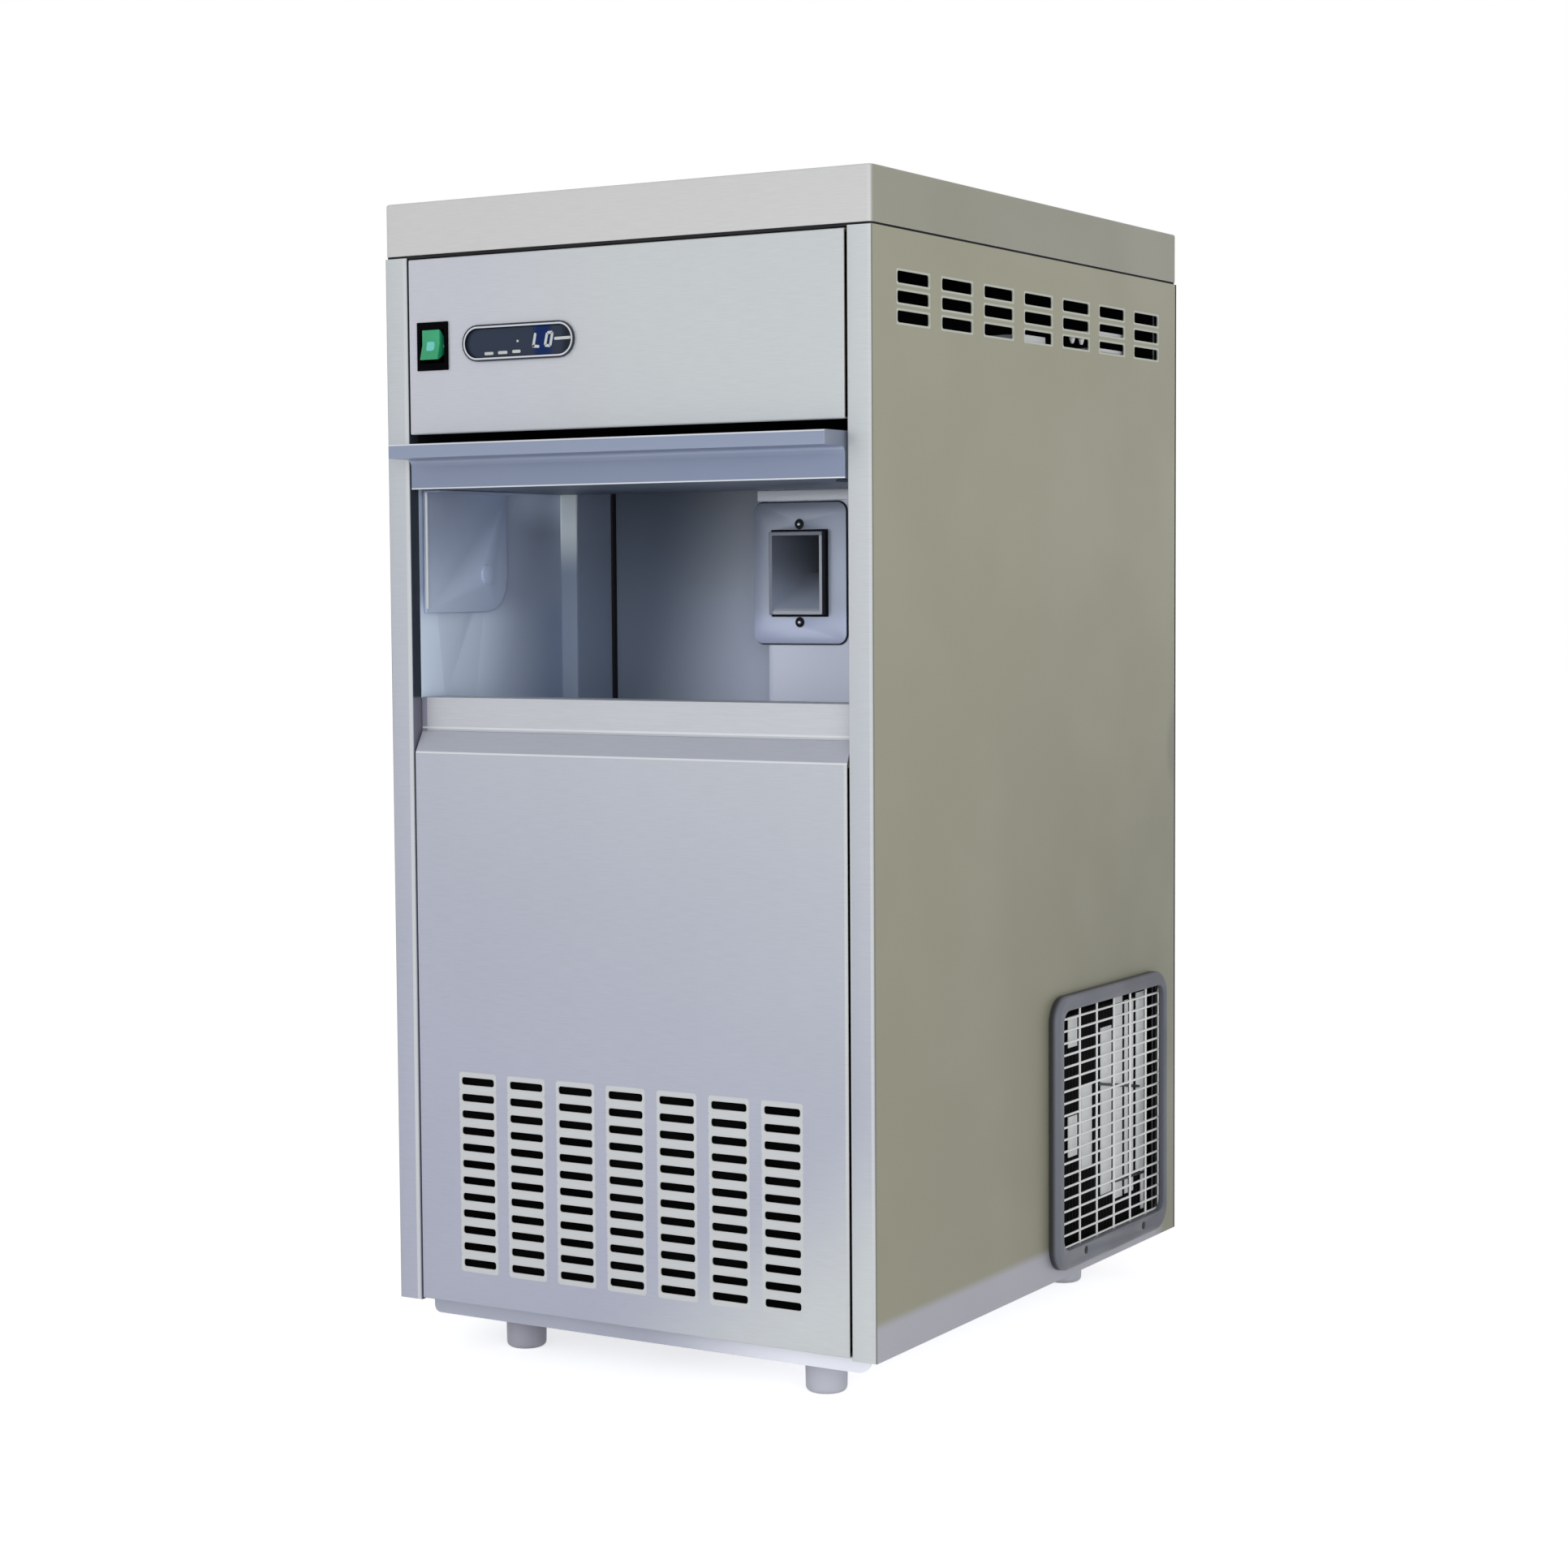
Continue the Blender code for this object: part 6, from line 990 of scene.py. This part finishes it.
def outlet():
    """The outlet's plate on a black gasket that also paints the shadow round it, the spout, and two screws in black
    rings of painted recess shade.
    """
    x, z, screw_rise = 0.2162, 0.502, 0.0345
    wide, high, back, face = 0.0376, 0.04955, 0.1897, 0.1882
    through = (0.18, 0.2)
    plate = rounded_block((x - wide, face, z - high), (x + wide, face + 0.0009, z + high), Y, 0.007, 8,
                          "chute_plate_sheet")
    opening_wide, opening_high = 0.0232, 0.0306
    cut(plate, block("cutter", (x - opening_wide, through[0], z - opening_high),
                     (x + opening_wide, through[1], z + opening_high)))
    for level in (z + screw_rise, z - screw_rise):
        cut(plate, rod("cutter", 0.003, (x, through[0], level), (x, through[1], level), 24))
    finish(soften(plate, 0.0003, 2, 60), "bin_steel", PLATE_STEEL, "chute_plate")
    # The black gasket reaches out to the right, above and below the plate as a painted shadow line.
    edge = 0.0009
    dark_filler = rounded_block((x - wide, face + 0.0008, z - high - edge),
                           (x + wide + edge, back + 0.0001, z + high + edge), Y, 0.0078, 8, "chute_gasket_shadow")
    cut(dark_filler, block("cutter", (x - 0.0219, through[0], z - 0.0293), (x + 0.0219, through[1], z + 0.0293)))
    finish(smooth(dark_filler), "black_plastic", BLACK_AND_SHADE)
    dress("ice_spout", "white_plastic", SPOUT_PLASTIC, 0.0004)
    for end, level in (("top", z + screw_rise), ("bottom", z - screw_rise)):
        ring_face, head_face = face - 0.0004, face - 0.0017
        ring = rod(f"screw_recess_shade_{end}", 0.0037, (x, face + 0.0008, level), (x, ring_face, level), 24)
        finish(smooth(bend(ring, at(y=ring_face), 0.0004, 2)), "black_plastic", BLACK_AND_SHADE)
        head_x = x + 0.0002
        head = rod(f"chute_screw_{end}_head", 0.0015, (head_x, face, level), (head_x, head_face, level), 20)
        finish(smooth(bend(head, at(y=head_face), 0.0008)), "silver_trim", RIM, f"chute_screw_{end}")


# Controls

def rocker_switch():
    """The switch's housing, its rocker, drawn in a little at the left and more at the right, and its lens."""
    dress("switch_bezel", "black_plastic", SWITCH_BLACK, 0.0005, 3)
    rocker = copy_of("switch_rocker")
    x, z = 0.0395, 0.6566
    shift(rocker, "VERT", lambda middle, span: middle.x > x + 0.005, (-0.003, 0, 0))
    shift(rocker, "VERT", lambda middle, span: middle.x < x - 0.005, (0.001, 0, 0))
    soften(rocker, 0.0007, 3)
    lens = copy_of("switch_rocker", "rocker_lens_cap")
    apply(lens, "DISPLACE", strength=0.00025, mid_level=0)
    column = rounded_block((x - 0.0035, -0.012, z - 0.0031), (x + 0.0031, 0.0006, z + 0.0031), Y, 0.0016)
    cut(lens, column, operation="INTERSECT")
    finish(rocker, "green_rocker", GREEN, "switch_rocker")
    finish(smooth(lens), "green_rocker", LENS_TINT, body="rocker")


def display():
    """The display's rim and glass, and the lit strokes of its digits, dashes and dot."""
    dress("display_bezel", "silver_trim", BEZEL_TRIM, 0.0007, 4)
    dress("display_window", "dark_window", DISPLAY_GLASS, 0.0002)
    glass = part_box("display_window")[0].y - CORNER.y
    proud, deep, line = 0.00022, 0.0002, 0.0019

    def stroke(start, end, thick=line):
        """A lit stroke between two points of the window, given across and up."""
        half = math.dist(start, end) / 2
        item = rounded_block((-half, glass - proud, -thick / 2), (half, glass + deep, thick / 2), Y, thick * 0.35, 3,
                             "display_marks")
        lean = Matrix.Rotation(-math.atan2(end[1] - start[1], end[0] - start[0]), 4, "Y")
        middle = Vector(((start[0] + end[0]) / 2, 0, (start[1] + end[1]) / 2))
        item.data.transform(Matrix.Translation(CORNER + middle) @ lean @ Matrix.Translation(-CORNER))
        return item

    marks = [stroke((0.1229, 0.6524), (0.1248, 0.6616)), stroke((0.1223, 0.6531), (0.1278, 0.6526))]
    corners = ((0.1324, 0.6532), (0.1343, 0.6613), (0.1386, 0.6616), (0.1366, 0.6527))
    marks += [stroke(start, end) for start, end in zip(corners, corners[1:] + corners[:1])]
    marks.append(stroke((0.14, 0.6573), (0.1531, 0.6575)))
    marks += [stroke((start, level), (end, level), 0.002) for start, end, level in (
        (0.0831, 0.0903, 0.6497), (0.0942, 0.1018, 0.6499), (0.1059, 0.1125, 0.6502))]
    marks.append(stroke((0.1095, 0.657), (0.1111, 0.657), 0.0015))
    finish(smooth(combine(*marks)), "silver_trim", SEGMENT)


# Grille and condenser

def grille():
    """The moulded frame with two screws, and the net of wires behind it."""
    face, wall_side = WIDTH + GRILLE_OUT, WIDTH - 0.01
    net_seat, rebate, lap = face - 0.004, 0.003, 0.0025
    ring = rounded_block((WIDTH + 0.0003, *GRILLE_LOW), (face, *GRILLE_HIGH), X, 0.018, 8, "grille_frame_ring")
    bend(ring, at(x=face), 0.0034, 6)
    cut(ring, rounded_block(*window_reach(wall_side, face + 0.01), X, WINDOW_CORNER, 6))
    cut(ring, block("cutter", *window_reach(wall_side, net_seat, rebate)))
    for y, z in ((0.2956, 0.0172), (0.396, 0.016)):
        cut(ring, rod("cutter", 0.0029, (face - 0.0012, y, z), (face + 0.002, y, z), 24))
        screw_face = face - 0.0001
        screw = rod("grille_screw", 0.0025, (face - 0.0014, y, z), (screw_face, y, z), 20)
        finish(smooth(bend(screw, at(x=screw_face), 0.0005)), "black_plastic", BLACK_AND_SHADE)
    finish(soften(ring, 0.0004, 2, 60), "grey_plastic", GRILLE_PLASTIC, "grille_frame")
    wire = 0.0009
    mid = net_seat - 0.0003 - wire
    (_, low_y, low_z), (_, high_y, high_z) = window_reach(mid, mid, lap)
    uprights = [low_y + wire, 0.2664, 0.2952, 0.324, 0.3535, 0.3823, 0.4104, high_y - wire]
    levels = [low_z + wire] + [0.0227 + 0.0086 * number for number in range(20)] + [high_z - wire]
    upright = rod("grille_wires", wire, (mid, 0, low_z), (mid, 0, high_z), 8)
    level = rod("level", wire, (mid, low_y, 0), (mid, high_y, 0), 8)
    net = combine(repeat(upright, [(0, y, 0) for y in uprights]), repeat(level, [(0, 0, z) for z in levels]))
    finish(smooth(net, 50), "silver_trim", WIRE, "grille_mesh")


def condenser():
    """Fins, tubes and end plates, strips of painted reflection of the fins that show through the grille, and the
    ties.
    """
    low, high = (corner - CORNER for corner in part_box("condenser"))
    count, fin, margin, end_plate = 34, 0.0004, 0.001, 0.0008
    first = block("condenser_fins", (low.x + 0.002, low.y + margin, low.z + 0.002),
                  (high.x - 0.0015, low.y + margin + fin, high.z - 0.002))
    pitch = (high.y - low.y - 2 * margin - fin) / (count - 1)
    finish(row(first, (0, pitch, 0), count), "fin_alloy", FIN, "condenser")
    tube_x, tube_z = high.x - 0.009, low.z + 0.016
    tube = rod("condenser_tubes", 0.0042, (tube_x, low.y + 0.0005, tube_z), (tube_x, high.y - 0.0005, tube_z), 12)
    finish(smooth(row(tube, (0, 0, 0.026), 7)), "copper", ENAMEL)
    plates = block("condenser_ends", low, (high.x - 0.001, low.y + end_plate, high.z))
    plates = row(plates, (0, high.y - low.y - end_plate, 0), 2)
    finish(soften(plates, 0.0002, 1), "fin_alloy", SHADE_SHEET)
    sheet = 0.0008
    face = high.x + sheet
    shapes = ((0.3465, 0.365, 0.0465, 0.1697), (0.3707, 0.3844, 0.0394, 0.1896), (0.3888, 0.3946, 0.04, 0.185),
              (0.3998, 0.4042, 0.04, 0.185), (0.4093, 0.4235, 0.0529, 0.1881), (0.418, 0.4235, 0.0233, 0.0529),
              (0.3131, 0.3311, 0.0703, 0.1314), (0.2913, 0.3062, 0.0832, 0.1126), (0.2913, 0.3062, 0.1624, 0.1847))
    strips = [block("condenser_sheen_strips", (face - sheet, front, foot), (face, rear, top))
              for front, rear, foot, top in shapes]
    finish(soften(combine(*strips), 0.0002), "galvanised", FIN_SHEEN)
    tie_x = face + 0.0008
    ties = [rod("condenser_ties", 0.001, (tie_x, *start), (tie_x, *end), 10) for start, end in (
        ((0.34, 0.1297), (0.412, 0.1175)), ((0.364, 0.053), (0.426, 0.051)))]
    finish(smooth(combine(*ties)), "black_enamel", ENAMEL)


# Fittings at the back, and what shows through the vents

def fittings():
    """The float valve with its thread, the barbed drain spigot and the cable gland."""
    dress("float_valve", "brass", BRASS, 0.0003, 1, 50)
    deselect()
    bpy.ops.mesh.primitive_torus_add(major_radius=0.0103, minor_radius=0.00055, major_segments=28, minor_segments=6,
                                     location=Vector((0.085, 0.474, 0.503)) + CORNER, rotation=(math.pi / 2, 0, 0))
    thread = settle(bpy.context.object, "inlet_thread")
    finish(smooth(row(thread, (0, 0.0016, 0), 8)), "brass", BRASS)
    dress("drain_spigot", "grey_plastic", GREY_PLASTIC, 0.0004, 2, 50)
    barb = rod("drain_barbs", 0.0089, (0.15, 0.476, 0.04), (0.15, 0.4785, 0.04), 24, 0.008)
    finish(smooth(row(barb, (0, 0.003, 0), 3)), "grey_plastic", GREY_PLASTIC)
    dress("cable_gland", "black_plastic", BLACK, 0.0005, 2, 50)


def inside_glimpses():
    """Small fittings of the electrics that show through the side vents."""
    pieces = [block("inside_fittings", (0.35, 0.216, 0.629), (0.3765, 0.2535, 0.6636))]
    pieces += [block("rail", (0.352, 0.334, low), (0.377, 0.385, high))
               for low, high in ((0.6709, 0.6738), (0.659, 0.6618))]
    pieces += [rod("tip", 0.001, (0.376, y, 0.6622), (0.376, y, 0.67), 10, 0.0034) for y in (0.2975, 0.3125)]
    finish(combine(*(soften(piece, 0.0006) for piece in pieces)), "white_plastic", WHITE_PLASTIC)


# CAD pieces that keep their form

KEPT = {
    GALVANISED: ("drive_stand", "fan_shroud"),
    # The top frame and the deck are near black, as painted shade inside the cabinet.
    SHADE_SHEET: ("top_frame", "electrics_deck"),
    FOAM: ("bin_insulation", "door_foam", "evaporator_jacket"),
    BOARD: ("control_board",),
    BIN_STEEL: ("evaporator_barrel", "auger"),
    CAST: ("auger_head", "gearbox_housing", "barrel_stand"),
    BRASS: ("drive_gear",),
    STEEL: ("motor_pinion",),
    ENAMEL: ("gear_motor", "compressor", "fan_motor"),
    GREY_PLASTIC: ("fan_blade",),
    COPPER: ("filter_drier", "discharge_pipe", "liquid_pipe", "capillary", "suction_pipe"),
    WHITE_PLASTIC: ("water_tank", "tank_lid", "float"),
    CLEAR_HOSE: ("feed_hose", "drain_hose"),
}


def keep_forms():
    for material, nodes in KEPT.items():
        for node in nodes:
            NODES[node].material_slots[0].material = material


set_camera()
set_world()
set_floor()
lamp("key", (-1.8, -2.6, 1.6), (0, -0.1, 0.42), (2.0, 2.0), 15, (0.97, 0.98, 1.0))
lamp("front", (0.7, -3.2, 0.75), (0, -0.1, 0.48), (1.8, 1.2), 12, (0.94, 0.97, 1.0))
lamp("right_front", (2.2, -2.4, 0.9), (0, 0, 0.42), (2.8, 1.8), 38, (0.97, 0.985, 1.0))

side_panel("left")
side_panel("right")
top_cover()
control_panel()
lower_panel()
dress("bin_sill", "satin_steel", SILL_STEEL, 0.0007, 3)
for make in (back_panel, base_pan, feet, shade_fillers, door, bin_lining, outlet, rocker_switch, display, grille, condenser,
             fittings, inside_glimpses, keep_forms):
    make()

bpy.context.scene.view_settings.view_transform = "Standard"
